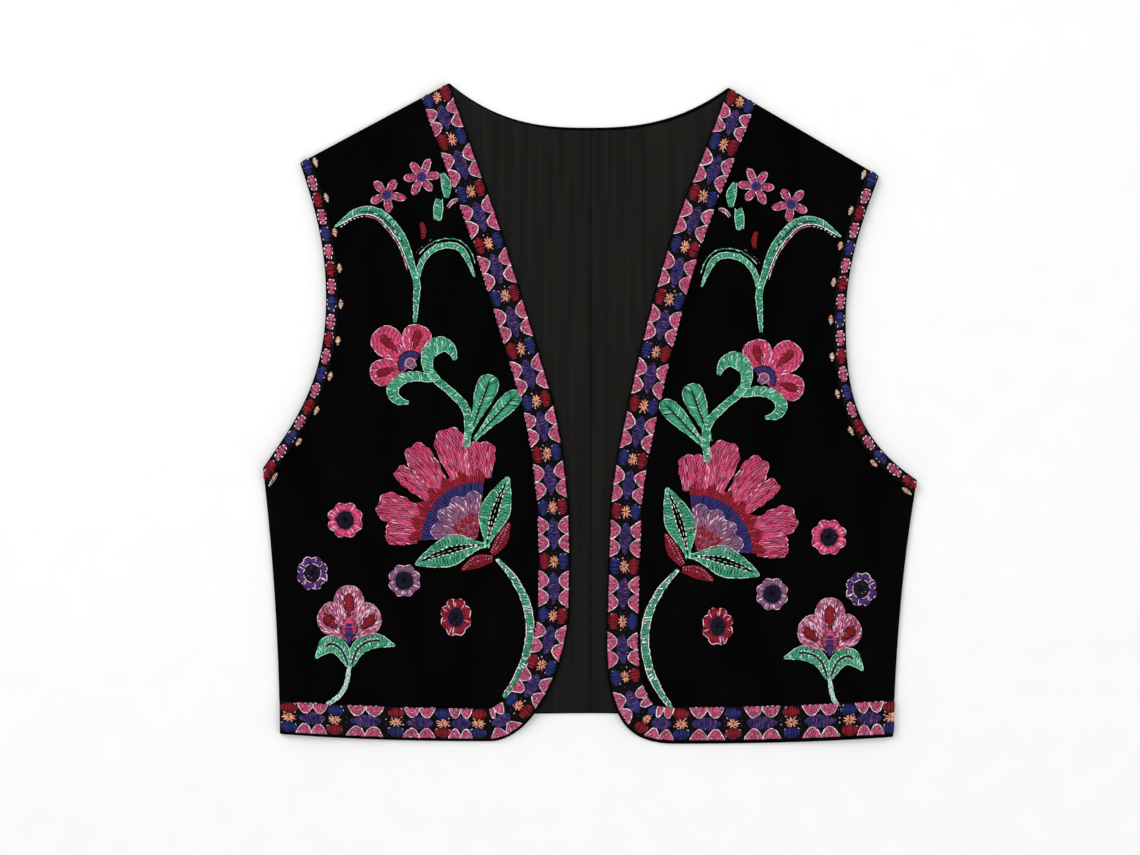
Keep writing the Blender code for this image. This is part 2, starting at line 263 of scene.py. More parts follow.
FRONTS = {
    "left": Cut(
        name="left",
        sign=1,
        neck=(96.6, 228.2),
        tip=(202.3, 166.3),
        armhole=(179.0, 66.0),
        underarm=(228.9, -46.6),
        underarm_run=(-0.832, 0.555),
        lower_pull=(52.0, 50.0),
        upper_pull=(38.0, 30.0),
        seam_middle=(217.7, -130.6),
        hem=(212.1, -226.5),
        corner_start=(60.0, -231.4),
        corner_end=(11.0, -160.0),
        corner_pull=(30.0, 58.0),
        hem_margin=2.4,
        hem_band=23.4,
        edge_rows=((13.0, -90), (15.3, -50), (24.7, 0), (36.0, 50), (49.3, 100), (62.2, 140), (78.0, 180)),
        folds=(
            Fold(128, 62, 82, 118, 58, 2.4),
            Fold(118, -112, 12, 92, 74, 2.0),
            Fold(168, -72, 142, 62, 24, 1.7),
            Fold(148, 118, 118, 60, 22, 1.3),
            Fold(92, -18, 74, 84, 24, 1.2),
            Fold(16, -62, 90, 84, 34, 1.5),
            Fold(30, -206, 40, 48, 30, 1.4),
        ),
    ),
    "right": Cut(
        name="right",
        sign=-1,
        neck=(98.4, 231.4),
        tip=(203.0, 175.4),
        armhole=(184.8, 80.0),
        underarm=(228.9, -38.2),
        underarm_run=(-0.566, 0.824),
        lower_pull=(38.0, 58.0),
        upper_pull=(40.0, 30.0),
        seam_middle=(220.5, -130.6),
        hem=(217.0, -224.4),
        corner_start=(70.0, -229.6),
        corner_end=(14.0, -130.0),
        corner_pull=(26.0, 55.0),
        hem_margin=1.8,
        hem_band=21.4,
        edge_rows=((13.7, -90), (15.9, -50), (23.5, 0), (37.5, 50), (52.8, 100), (65.7, 140), (80.0, 180)),
        folds=(
            Fold(132, 58, 86, 122, 60, 2.5),
            Fold(124, -106, 8, 88, 78, 1.8),
            Fold(172, -58, 132, 66, 25, 1.9),
            Fold(142, 124, 110, 66, 24, 1.1),
            Fold(84, -30, 80, 76, 26, 1.3),
            Fold(22, -30, 78, 90, 34, 1.3),
            Fold(36, -196, 48, 52, 32, 1.6),
        ),
    ),
}


@dataclass(frozen=True)
class BackCut:
    """The back's cut: its neck and hem, and the ripples beside its centre seam, with x across the vest."""

    neck_y: float = 200.3
    neck_roundness: float = 2.6
    hem_y: float = -210.0
    seam_x: float = 0.7
    hem_clearance: float = 1.0
    hem_fall: float = 17.0
    neck_share: float = 0.24
    underarm_share: float = 0.45
    ripples: Sequence[Fold] = (
        Fold(-9, 58, 90, 118, 9, 0.8),
        Fold(8, 96, 90, 84, 8, 0.5),
        Fold(-5, -92, 90, 92, 7, 0.5),
    )

    def hem_height(self, x: Points) -> Points:
        """The y of the hem at x: a parabola that arches up between the side seams."""
        seam_x, seam_y = (np.where(x > 0, FRONTS["left"].hem[k], FRONTS["right"].hem[k]) for k in (0, 1))
        return seam_y + (self.hem_y - seam_y) * (1.0 - np.minimum(np.abs(x) / seam_x, 1.0) ** 2)

    def outline(self) -> tuple[Points, tuple[Points, Points, Points], dict[str, tuple[Points, Points]]]:
        """The back's edges, as dense lines.

        Returns:
            The hem from -X, the shoulder, neck and shoulder from -X, and each side's seam and armhole.
        """
        right, left = FRONTS["right"], FRONTS["left"]
        x = np.linspace(-right.hem[0], left.hem[0], 400)
        hem = np.stack([x, self.hem_height(x)], axis=1)
        t = np.linspace(-1.0, 1.0, 400)[:, None]
        from_neck, to_neck = right.placed(np.array(right.neck)), left.placed(np.array(left.neck))
        chord = (from_neck * (1 - t) + to_neck * (1 + t)) / 2
        drop = (chord[:, 1] - self.neck_y) * (1.0 - np.abs(t[:, 0]) ** self.neck_roundness)
        neck = chord - np.stack([np.zeros(len(t)), drop], axis=1)
        top_lines = (right.placed(right.shoulder_line()), neck, left.placed(left.shoulder_line())[::-1])
        sides = {
            name: (cut.placed(cut.seam_line()), cut.placed(cut.armhole_line()))
            for name, cut in FRONTS.items()
        }
        return hem, top_lines, sides

    def sheet(self, columns: Points, rows: Points) -> Points:
        """The Coons patch of the back's four edges at these shares of its width and of its height.

        The two rulings are added, less the bilinear sheet of the corners, which are the ends of the sides.
        """
        hem, top_lines, sides = self.outline()
        u, v = columns[:, None, None], rows[None, :, None]
        bottom = shared([hem], (0.0, 1.0), columns)[:, None]
        top = shared(top_lines, (0.0, self.neck_share, 1.0 - self.neck_share, 1.0), columns)[:, None]
        breaks = (0.0, self.underarm_share, 1.0)
        right, left = (shared(sides[name], breaks, rows)[None] for name in ("right", "left"))
        low = (1 - u) * sides["right"][0][0] + u * sides["left"][0][0]
        high = (1 - u) * sides["right"][1][-1] + u * sides["left"][1][-1]
        return (1 - u) * right + u * left + (1 - v) * bottom + v * top - (1 - v) * low - v * high


BACK = BackCut()


def shared(lines: Sequence[Points], breaks: Sequence[float], share: Points) -> Points:
    """Points on lines that lie end to end, where each line takes the shares between its two breaks."""
    found = np.empty((len(share), 2))
    for line, low, high in zip(lines, breaks, breaks[1:]):
        inside = (share >= low) & (share <= high)
        found[inside] = at(line, (share[inside] - low) / (high - low) * lengths_of(line)[-1])
    return found


def patch(bottom: Points, top: Points, outer: Points, inner: Points) -> Points:
    """A grid between four edges, a Coons patch: the two rulings added, less the corners' bilinear sheet."""
    u = np.linspace(0.0, 1.0, len(bottom))[:, None, None]
    v = np.linspace(0.0, 1.0, len(outer))[None, :, None]
    rulings = (1 - u) * outer[None] + u * inner[None] + (1 - v) * bottom[:, None] + v * top[:, None]
    low = (1 - u) * (1 - v) * bottom[0] + u * (1 - v) * bottom[-1]
    return rulings - (low + (1 - u) * v * top[0] + u * v * top[-1])


@dataclass
class Plan:
    """The plan of one front: its edge strip, its armhole strip and the panel between them, as grids.

    The runs are the cells along the hem, the corner, the front edge, the side seam and the armhole, before
    they are made finer.
    """

    cut: Cut
    runs: Sequence[int] = (6, 10, 16, 8, 13)
    fineness: int = 8
    across: int = 10
    armhole_across: int = 4
    edge_margin: float = 0.8
    edge_band: float = 21.4
    armhole_margin: float = 1.2
    armhole_band: float = 7.2
    end_blend: float = 26.0
    edge_strip: Points = field(init=False)
    armhole_strip: Points = field(init=False)
    panel: Points = field(init=False)
    edge: Points = field(init=False)

    def __post_init__(self) -> None:
        """Lays out the three grids."""
        cut = self.cut
        *edge_cells, seam_cells, armhole_cells = (run * self.fineness for run in self.runs)
        hem_cells, corner_cells, _ = edge_cells
        edge_lines = (cut.hem_line(), cut.corner_line(), cut.edge_line())
        self.edge = joined(*edge_lines)
        stations = joined(*(evenly(line, cells) for line, cells in zip(edge_lines, edge_cells)))
        seam, armhole = cut.seam_line(), cut.armhole_line()
        shoulder = np.array(cut.tip) - np.array(cut.neck)
        share = np.clip((np.arange(len(stations)) - hem_cells) / corner_cells, 0.0, 1.0)
        margin = cut.hem_margin + (self.edge_margin - cut.hem_margin) * share
        width = cut.hem_band + (self.edge_band - cut.hem_band) * share
        across = np.linspace(0.0, 1.0, self.across + 1)
        depths = margin[:, None] + width[:, None] * across
        offsets = np.concatenate([np.zeros((len(stations), 1)), depths], axis=1)
        self.edge_strip = self.strip(stations, self.edge, 1, offsets, seam[1] - seam[0], shoulder)
        cells = self.armhole_across
        steps = (0.0, *(self.armhole_margin + self.armhole_band * k / cells for k in range(cells + 1)))
        offsets = np.tile(steps, (armhole_cells + 1, 1))
        stations = evenly(armhole, armhole_cells)
        self.armhole_strip = self.strip(stations, armhole, -1, offsets, seam[-2] - seam[-1], -shoulder)
        inside, beside = self.edge_strip[:, -1], self.armhole_strip[:, -1]
        turn = hem_cells + corner_cells // 2
        low = np.linalg.norm(inside[0] - seam[0])
        high = lengths_of(seam)[-1] - np.linalg.norm(beside[0] - seam[-1])
        seam_run = at(seam, np.linspace(low, high, seam_cells + 1))
        seam_run[0], seam_run[-1] = inside[0], beside[0]
        top = np.linspace(beside[-1], inside[-1], turn + 1)
        self.panel = patch(inside[: turn + 1], top, joined(seam_run, beside), inside[turn:])

    def strip(
        self,
        stations: Points,
        line: Points,
        inward: int,
        offsets: Points,
        start_run: Points,
        end_run: Points,
    ) -> Points:
        """Points across a band along an edge: at each station, one point at each offset in from the edge.

        The way across is the edge's normal, which turns to start_run and end_run near the ends, so that the
        band ends on the seams there.

        Args:
            stations: the points along the edge.
            line: the dense edge, for its slopes.
            inward: 1 if the cloth is on the right of the line, -1 if on its left.
            offsets: the distances in from the edge, a row for each station.
            start_run: the way that the seam runs at the first station.
            end_run: the way that the seam runs at the last station.

        Returns:
            The grid, stations by offsets by 2.
        """
        along, dense_along = lengths_of(stations), lengths_of(line)
        tangents = unit(at_rows(np.gradient(line, axis=0), dense_along, along))
        normals = inward * np.stack([tangents[:, 1], -tangents[:, 0]], axis=1)
        across = normals.copy()
        for run, distance in ((start_run, along), (end_run, along[-1] - along)):
            share = np.clip(1.0 - distance / self.end_blend, 0.0, 1.0)[:, None] ** 2
            across = across * (1.0 - share) + unit(run) * share
        across /= (across * normals).sum(axis=1)[:, None]
        return stations[:, None, :] + across[:, None, :] * offsets[:, :, None]


@dataclass
class Laid:
    """The surface on which one front lies, and the heights over it."""

    cut: Cut
    seam_roll: float = 7.0
    sewn_gap: float = 0.05

    def under(self, points: Points) -> Points:
        """The height of the front's underside at points with x out from the centre.

        It rests on the lining, falls to the floor past the back's hem, swells in its folds, and rolls down to
        the back along the side seam and the shoulder, where the two are sewn together.
        """
        x, y = points[..., 0], points[..., 1]
        past_hem = BACK.hem_height(x * self.cut.sign) - y - BACK.hem_clearance
        fall = smoothstep(past_hem / BACK.hem_fall)
        rest = WALL.front_rest * (1.0 - fall)
        folds = sum((fold.swell(x, y) for fold in self.cut.folds), np.zeros(np.shape(x)))
        seams = [self.cut.seam_line()[::20], self.cut.shoulder_line()]
        nearness = np.stack([distance_to(seam, points) for seam in seams]).min(axis=0)
        sewn = smoothstep(1.0 - nearness / self.seam_roll)
        on_back = np.minimum(WALL.shell + self.sewn_gap, rest + self.sewn_gap)
        return (rest + folds) * (1.0 - sewn) + on_back * sewn

    def top(self, points: Points) -> Points:
        """The height of the velvet's face."""
        return self.under(points) + WALL.front

    def band_top(self, points: Points) -> Points:
        """The height of a band's face."""
        return self.top(points) + WALL.gap + WALL.band


def linear(red: float, green: float, blue: float) -> Colour:
    """A screen colour, 0 to 255, as linear light: the sRGB curve undone."""
    shares = np.array([red, green, blue]) / 255.0
    light = np.where(shares <= 0.04045, shares / 12.92, ((shares + 0.055) / 1.055) ** 2.4)
    return tuple(float(value) for value in light)


class Nodes:
    """A short way to build one material's nodes."""

    def __init__(self, name: str) -> None:
        """Starts a material that has only its shader."""
        self.material = bpy.data.materials.new(name)
        self.material.use_nodes = True
        self.tree = self.material.node_tree
        self.shader = self.tree.nodes["Principled BSDF"]

    def add(self, kind: str, settings: dict | None = None, **inputs: object) -> bpy.types.Node:
        """Adds a node.

        Args:
            kind: the node's type, without its ShaderNode prefix.
            settings: the node's own options.
            inputs: what goes into its sockets, by name with _ for a space: a value, or a socket to link.

        Returns:
            The node.
        """
        node = self.tree.nodes.new(f"ShaderNode{kind}")
        for option, value in (settings or {}).items():
            setattr(node, option, value)
        self.fill(node, **inputs)
        return node

    def fill(self, node: bpy.types.Node, **inputs: object) -> None:
        """Sets or links a node's sockets, by name with _ for a space."""
        for socket, value in inputs.items():
            self.put(node, socket.replace("_", " "), value)

    def put(self, node: bpy.types.Node, socket: str | int, value: object) -> None:
        """Sets a socket to a value, or links another node's socket to it."""
        if isinstance(value, bpy.types.NodeSocket):
            self.tree.links.new(value, node.inputs[socket])
        else:
            node.inputs[socket].default_value = value

    def object_place(self, scale: Sequence[float] = (1.0, 1.0, 1.0)) -> bpy.types.NodeSocket:
        """Object coordinates, stretched by this scale."""
        place = self.add("TexCoord").outputs["Object"]
        return self.add("Mapping", Vector=place, Scale=scale).outputs["Vector"]

    def ramp(
        self, factor: bpy.types.NodeSocket, stops: Sequence[tuple[float, Colour]]
    ) -> bpy.types.NodeSocket:
        """A colour ramp with these stops."""
        node = self.add("ValToRGB", Fac=factor)
        elements = node.color_ramp.elements
        while len(elements) < len(stops):
            elements.new(0.5)
        for element, (position, colour) in zip(elements, stops):
            element.position = position
            element.color = (*colour, 1.0)
        return node.outputs["Color"]

    def bump(self, height: bpy.types.NodeSocket, distance: float, strength: float) -> None:
        """Gives the shader a bump from this height, over a distance in millimetres."""
        bump = self.add("Bump", Height=height, Distance=distance * MM, Strength=strength)
        self.put(self.shader, "Normal", bump.outputs["Normal"])


@dataclass(frozen=True)
class Velvet:
    """Short black cotton pile: nearly no light from above, a faint sheen at a slant, and a brushed nap."""

    name: str = "black_velvet"
    deep: Colour = (0.0005, 0.0005, 0.0006)
    brushed: Colour = (0.0016, 0.0015, 0.0018)
    sheen: float = 0.015
    nap_pitch: float = 26.0
    nap_stretch: float = 0.45
    pile_pitch: float = 0.45

    def material(self) -> bpy.types.Material:
        """Mottled nap from a stretched noise, with a fine noise as pile."""
        made = Nodes(self.name)
        stretched = made.object_place((1.0, self.nap_stretch, 1.0))
        nap = made.add("TexNoise", Vector=stretched, Scale=1000 / self.nap_pitch, Detail=5.0)
        pile = made.add("TexNoise", Vector=made.object_place(), Scale=1000 / self.pile_pitch, Detail=2.0)
        made.fill(
            made.shader,
            Base_Color=made.ramp(nap.outputs["Fac"], [(0.36, self.deep), (0.68, self.brushed)]),
            Roughness=0.95,
            Specular_IOR_Level=0.025,
            Sheen_Weight=self.sheen,
            Sheen_Roughness=0.42,
            Sheen_Tint=(0.75, 0.76, 0.85, 1.0),
        )
        made.bump(pile.outputs["Fac"], distance=0.25, strength=0.7)
        return made.material


@dataclass(frozen=True)
class Weave:
    """A plain woven cloth: fine crossed ridges, with lighter and darker streaks drawn out along y."""

    name: str
    dark: Colour
    light: Colour
    pitch: float = 0.42
    roughness: float = 0.62
    sheen: float = 0.015
    streak_pitch: float = 5.0
    streak_stretch: float = 26.0
    # Painted shadow: the colour is drawn down along the centre seam, over its reach, as shade in its groove.
    seam_x: float | None = None
    seam_reach: float = 1.5
    seam_shadow_share: float = 0.55

    def material(self) -> bpy.types.Material:
        """Two crossed sine waves as threads, and a noise drawn out along y as streaks.

        A wave texture has one ridge in each twentieth of its scale.
        """
        made = Nodes(self.name)
        place = made.object_place()
        threads = made.add("Math", {"operation": "MAXIMUM"})
        for number, way in enumerate(("X", "Y")):
            size = 1000 / self.pitch / 20.0
            wave = made.add("TexWave", {"bands_direction": way}, Vector=place, Scale=size, Distortion=0.4)
            made.put(threads, number, wave.outputs["Fac"])
        across = 1000 / self.streak_pitch
        stretched = made.object_place((across, across / self.streak_stretch, 1.0))
        streaks = made.add("TexNoise", Vector=stretched, Scale=1.0, Detail=4.0)
        colour = made.ramp(streaks.outputs["Fac"], [(0.34, self.dark), (0.66, self.light)])
        if self.seam_x is not None:
            colour = self.painted_seam_shadow(made, place, colour)
        made.fill(
            made.shader,
            Base_Color=colour,
            Roughness=self.roughness,
            Specular_IOR_Level=0.06,
            Sheen_Weight=self.sheen,
            Sheen_Roughness=0.5,
        )
        made.bump(threads.outputs["Value"], distance=0.06, strength=0.6)
        return made.material

    def painted_seam_shadow(
        self, made: Nodes, place: bpy.types.NodeSocket, colour: bpy.types.NodeSocket
    ) -> bpy.types.NodeSocket:
        """The colour with a painted shadow in the centre seam's groove: drawn down towards the seam's middle,
        to the shadow's share there.
        """
        across = made.add("SeparateXYZ", Vector=place).outputs["X"]
        gap = made.add("Math", {"operation": "SUBTRACT"}, Value=across)
        made.put(gap, 1, self.seam_x * MM)
        size = made.add("Math", {"operation": "ABSOLUTE"}, Value=gap.outputs["Value"])
        valley = made.add(
            "MapRange", Value=size.outputs["Value"], From_Max=self.seam_reach * MM, To_Min=self.seam_shadow_share
        )
        drawn = made.add(
            "VectorMath", {"operation": "SCALE"}, Vector=colour, Scale=valley.outputs["Result"]
        )
        return drawn.outputs["Vector"]


@dataclass(frozen=True)
class Stranded:
    """Stranded embroidery thread: each stitch has its own colour with painted shade, and its plies twist round
    it.
    """

    name: str = "stranded_thread"
    twist: float = 0.9
    roughness: float = 0.5

    def material(self) -> bpy.types.Material:
        """The stitch's colour, with a slanting wave in millimetres along it and turns round it as plies."""
        made = Nodes(self.name)
        # The colour attribute holds each point's yarn colour with its painted shade and highlight.
        colour = made.add("Attribute", {"attribute_name": "thread_colour_and_painted_shade"})
        place = made.add("Attribute", {"attribute_name": "thread_place"})
        turned = made.add("Mapping", Vector=place.outputs["Vector"], Scale=(1 / self.twist, 1.0, 1.0))
        slanting = {"bands_direction": "DIAGONAL"}
        plies = made.add("TexWave", slanting, Vector=turned.outputs["Vector"], Scale=0.6, Distortion=0.2)
        made.fill(
            made.shader,
            Base_Color=colour.outputs["Color"],
            Roughness=self.roughness,
            Specular_IOR_Level=0.16,
            Sheen_Weight=0.01,
            Sheen_Roughness=0.35,
        )
        made.bump(plies.outputs["Fac"], distance=0.08, strength=0.5)
        return made.material


class Finish(Enum):
    """The finishes of the vest."""

    VELVET = Velvet()
    LINING = Weave("charcoal_lining", linear(15, 15, 12), linear(24, 23, 20), seam_x=BACK.seam_x)
    GROUND = Weave(
        "black_band_ground", linear(4, 3, 4), linear(11, 7, 9), pitch=0.7, sheen=0.006, streak_pitch=3.0
    )
    THREAD = Stranded()

    def material(self) -> bpy.types.Material:
        """The finish's material, made once and then shared."""
        return bpy.data.materials.get(self.value.name) or self.value.material()


def mesh_of(name: str, vertices: Points, *groups: Points) -> bpy.types.Mesh:
    """A smooth mesh from points in millimetres and groups of faces, each group with one number of corners.

    Args:
        name: the mesh's name.
        vertices: the points, n by 3.
        groups: arrays of vertex numbers, a row for each face.

    Returns:
        The mesh.
    """
    mesh = bpy.data.meshes.new(name)
    sizes = np.concatenate([np.full(len(group), group.shape[1]) for group in groups])
    corners = np.concatenate([group.ravel() for group in groups])
    mesh.vertices.add(len(vertices))
    mesh.vertices.foreach_set("co", (vertices * MM).astype(np.float32).ravel())
    mesh.loops.add(len(corners))
    mesh.loops.foreach_set("vertex_index", corners.astype(np.int32))
    mesh.polygons.add(len(sizes))
    mesh.polygons.foreach_set("loop_start", np.concatenate([[0], np.cumsum(sizes)[:-1]]).astype(np.int32))
    mesh.update(calc_edges=True)
    mesh.validate()
    mesh.shade_smooth()
    return mesh


def piece_of(name: str, mesh: bpy.types.Mesh, finish: Finish) -> bpy.types.Object:
    """An object at the origin that shows this mesh in this finish and rides on the vest."""
    piece = bpy.data.objects.new(name, mesh)
    bpy.context.scene.collection.objects.link(piece)
    mesh.materials.append(finish.material())
    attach(piece, "root")
    return piece


def grid_faces(rows: int, columns: int) -> Points:
    """The four-cornered faces of a grid of points numbered row by row."""
    number = np.arange(rows * columns).reshape(rows, columns)
    corners = (number[:-1, :-1], number[1:, :-1], number[1:, 1:], number[:-1, 1:])
    return np.stack([corner.ravel() for corner in corners], axis=1)


def plan_areas(points: Points, faces: Points) -> Points:
    """Twice the plan area of each four-cornered face, above 0 facing up: its diagonals' cross product."""
    corner = points[faces][..., :2]
    across, up = corner[:, 2] - corner[:, 0], corner[:, 3] - corner[:, 1]
    return across[:, 0] * up[:, 1] - across[:, 1] * up[:, 0]


def merged(grids: Sequence[Points]) -> tuple[Points, Points]:
    """Grids of points as one surface that faces up, with the points that they share kept once.

    The faces of a grid that faces down, by its whole area, have their corners turned round.

    Args:
        grids: arrays of rows by columns by 3.

    Returns:
        The points, and the faces with four corners.
    """
    faces, first = [], 0
    for grid in grids:
        quads = grid_faces(*grid.shape[:2])
        facing_up = plan_areas(grid.reshape(-1, 3), quads).sum() > 0
        faces.append((quads if facing_up else quads[:, ::-1]) + first)
        first += grid.shape[0] * grid.shape[1]
    points = np.concatenate([grid.reshape(-1, 3) for grid in grids])
    _, kept, number = np.unique(np.round(points, 3), axis=0, return_index=True, return_inverse=True)
    return points[kept], number.reshape(-1)[np.concatenate(faces)]


@dataclass
class ClothSheet:
    """A wall of cloth that grows up from grids of points, with its cut edges turned to a soft round."""

    name: str
    grids: Sequence[Points]
    wall: float
    finish: Finish
    slot: str
    round_share: float = 0.42
    round_steps: int = 2
    round_angle: float = 60.0

    def build(
        self, rests_on: Sequence[str], replaced: Sequence[str], carried: Sequence[bpy.types.Object] = ()
    ) -> bpy.types.Object:
        """Args:
            rests_on: the names of what it lies on; not used.
            replaced: the solids that it stands for.
            carried: the pieces that are sewn to it; not used.

        Returns:
            The piece.
        """
        points, faces = merged(self.grids)
        piece = piece_of(self.name, mesh_of(self.name, points, faces), self.finish)
        wall = piece.modifiers.new("wall", "SOLIDIFY")
        wall.thickness = self.wall * MM
        wall.offset = 1.0
        edge = piece.modifiers.new("turned_edge", "BEVEL")
        edge.width = self.wall * self.round_share * MM
        edge.segments = self.round_steps
        edge.angle_limit = np.radians(self.round_angle)
        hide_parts(*replaced)
        return piece


@dataclass
class Back:
    """The back: its velvet, flat on the floor, and its lining in two halves that meet at the centre seam.

    The lining stops short of the side seams by a share of the back's width, and of its hem and its neck by
    shares of its height. Its columns crowd at the centre seam in steps, and past the steps they are even.
    """

    shell_cells: int = 84
    lining_rows: int = 120
    lining_columns: int = 56
    side_inset: float = 8.0 / 440.0
    hem_inset: float = 1.1 / 430.0
    neck_inset: float = 2.2 / 420.0
    lining_steps: Sequence[float] = (0.0, 0.0012, 0.0025, 0.0045, 0.008, 0.012, 0.018)
    steps_end: float = 0.024
    seam_dip: float = 0.7
    seam_reach: float = 2.2
    pucker: float = 0.18
    pucker_pitch: float = 9.0
    pucker_reach: float = 5.0
    pucker_sway: float = 2.0
    sway_length: float = 23.0

    def build_shell(self) -> bpy.types.Object:
        """The velvet of the back, from its four edges, with its columns crowded at the neck points."""
        share = BACK.neck_share
        columns = joined(
            np.linspace(0.0, share, self.shell_cells // 4)[:, None],
            np.linspace(share, 1.0 - share, self.shell_cells // 2)[:, None],
            np.linspace(1.0 - share, 1.0, self.shell_cells // 4)[:, None],
        )[:, 0]
        plan = BACK.sheet(columns, np.linspace(0.0, 1.0, self.shell_cells + 1))
        points = np.concatenate([plan, np.zeros((*plan.shape[:2], 1))], axis=-1)
        sheet = ClothSheet("back_velvet", [points], WALL.shell, Finish.VELVET, "velvet")
        return sheet.build(["floor"], ["back_shell"])

    def build_lining(self, name: str) -> bpy.types.Object:
        """One half of the lining: beside the seam it dips to the stitching, with small puckers along it.

        Args:
            name: the side, left or right.

        Returns:
            The piece.
        """
        even = np.linspace(self.steps_end, 0.5 - self.side_inset, self.lining_columns)
        half = np.array([*self.lining_steps, *even])
        columns = 0.5 + half if name == "left" else 0.5 - half[::-1]
        rows = np.linspace(self.hem_inset, 1.0 - self.neck_inset, self.lining_rows)
        plan = BACK.sheet(columns, rows)
        middle = BACK.sheet(np.array([0.5]), rows)[..., 0]
        nearness = 1.0 - np.abs(2.0 * columns[:, None] - 1.0)
        shift = BACK.seam_x - middle + FRONTS[name].sign * WALL.gap / 4
        x, y = plan[..., 0] + shift * nearness, plan[..., 1]
        from_seam = np.abs(x - BACK.seam_x)
        dip = self.seam_dip * np.exp(-((from_seam / self.seam_reach) ** 2))
        swayed = y + self.pucker_sway * np.sin(y / self.sway_length)
        puckers = self.pucker * np.sin(2.0 * np.pi * swayed / self.pucker_pitch)
        ripples = sum(fold.swell(x, y) for fold in BACK.ripples)
        height = WALL.lining_rest + ripples - dip + puckers * np.exp(-from_seam / self.pucker_reach)
        points = np.stack([x, y, height], axis=-1)
        sheet = ClothSheet(f"back_lining_{name}_cloth", [points], WALL.lining, Finish.LINING, "lining")
        return sheet.build(["back_velvet"], [f"back_lining_{name}"])


@dataclass
class BandGround:
    """The black ground of a band: a flat strip with rounded edges, carried along its edge of the front.

    The shares are places across the band: along its face from rim to rim, and then back under it.
    """

    name: str
    grid: Points
    laid: Laid
    replaced: str
    rest: float = 0.05
    face_shares: Sequence[float] = (0.0, 0.006, 0.025, 0.07, 0.2, 0.4, 0.6, 0.8, 0.93, 0.975, 0.994, 1.0)
    back_shares: Sequence[float] = (0.85, 0.5, 0.15)
    squareness: float = 14.0

    def build(self) -> bpy.types.Object:
        """Carries the strip's section along the band and closes its ends.

        Across the face, at share v, the height is the wall times the root of 1 - |2v - 1| to a high power,
        and the back lies just on the velvet.
        """
        shares = np.array([*self.face_shares, *self.back_shares])
        across = shares * (self.grid.shape[1] - 1)
        low = np.clip(across.astype(int), 0, self.grid.shape[1] - 2)
        mix = (across - low)[None, :, None]
        plan = self.grid[:, low] * (1 - mix) + self.grid[:, low + 1] * mix
        crown = np.sqrt(np.clip(1.0 - np.abs(2 * shares - 1) ** self.squareness, 0.0, None))
        on_face = np.arange(len(shares)) < len(self.face_shares)
        rise = np.where(on_face, WALL.gap + WALL.band * crown, self.rest)
        height = self.laid.top(plan) + rise[None, :]
        points = np.concatenate([self.laid.cut.placed(plan), height[..., None]], axis=-1)
        stations, around = points.shape[:2]
        number = np.arange(stations * around).reshape(stations, around)
        nexts = np.roll(number, -1, axis=1)
        sides = np.stack([number[:-1], nexts[:-1], nexts[1:], number[1:]], axis=-1).reshape(-1, 4)
        caps = np.stack([number[0][::-1], number[-1]])
        mesh = mesh_of(self.name, points.reshape(-1, 3), sides, caps)
        facing_out(mesh)
        piece = piece_of(self.name, mesh, Finish.GROUND)
        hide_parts(self.replaced)
        return piece


def facing_out(mesh: bpy.types.Mesh) -> None:
    """Turns the faces of a closed mesh outwards."""
    surface = bmesh.new()
    surface.from_mesh(mesh)
    bmesh.ops.recalc_face_normals(surface, faces=surface.faces)
    surface.to_mesh(mesh)
    surface.free()


@dataclass
class Front:
    """One front: its velvet panel, and the grounds of its two bands."""

    name: str
    plan: Plan = field(init=False)
    laid: Laid = field(init=False)

    def __post_init__(self) -> None:
        """Lays out the plan and the surface that it lies on."""
        self.plan = Plan(FRONTS[self.name])
        self.laid = Laid(FRONTS[self.name])

    def build_panel(self, carried: Sequence[bpy.types.Object]) -> bpy.types.Object:
        """The velvet panel with its own lining, from the three grids of its plan."""
        cut = self.laid.cut
        grids = [
            np.concatenate([cut.placed(grid), self.laid.under(grid)[..., None]], axis=-1)
            for grid in (self.plan.edge_strip, self.plan.armhole_strip, self.plan.panel)
        ]
        sheet = ClothSheet(f"front_{self.name}_velvet", grids, WALL.front, Finish.VELVET, "velvet")
        linings = ["back_lining_left_cloth", "back_lining_right_cloth", "back_velvet"]
        return sheet.build(linings, [f"front_{self.name}"], carried)

    def build_band(self, kind: str, grid: Points) -> bpy.types.Object:
        """The ground of one band, the wide one and the narrow one each a piece of its own."""
        solid = f"{kind}_band_{self.name}"
        band = BandGround(f"{solid}_ground", grid[:, 1:], self.laid, solid)
        piece = band.build()
        return piece

    def build(self) -> list[bpy.types.Object]:
        """The panel and the grounds of its two bands."""
        edge_band = self.build_band("front", self.plan.edge_strip)
        trim = self.build_band("armhole", self.plan.armhole_strip)
        return [self.build_panel([trim]), edge_band, trim]


class Yarn(Enum):
    """The colours of the embroidery thread. BLUSH, MINT and WHITE are partly pale thread and partly painted
    highlight: flecks among the rows and lines on the rims, where shiny thread catches the light.
    """

    PINK = linear(204, 71, 112)
    ROSE = linear(180, 90, 126)
    BLUSH = linear(226, 182, 200)
    RED = linear(138, 22, 38)
    BLUE = linear(40, 46, 112)
    VIOLET = linear(72, 44, 106)
    LILAC = linear(136, 89, 122)
    GREEN = linear(66, 156, 120)
    MINT = linear(176, 220, 200)
    PEACH = linear(236, 162, 130)
    CREAM = linear(216, 190, 168)
    NIGHT = linear(17, 9, 32)
    WHITE = linear(238, 230, 232)


Stitches = tuple[Points, Points]


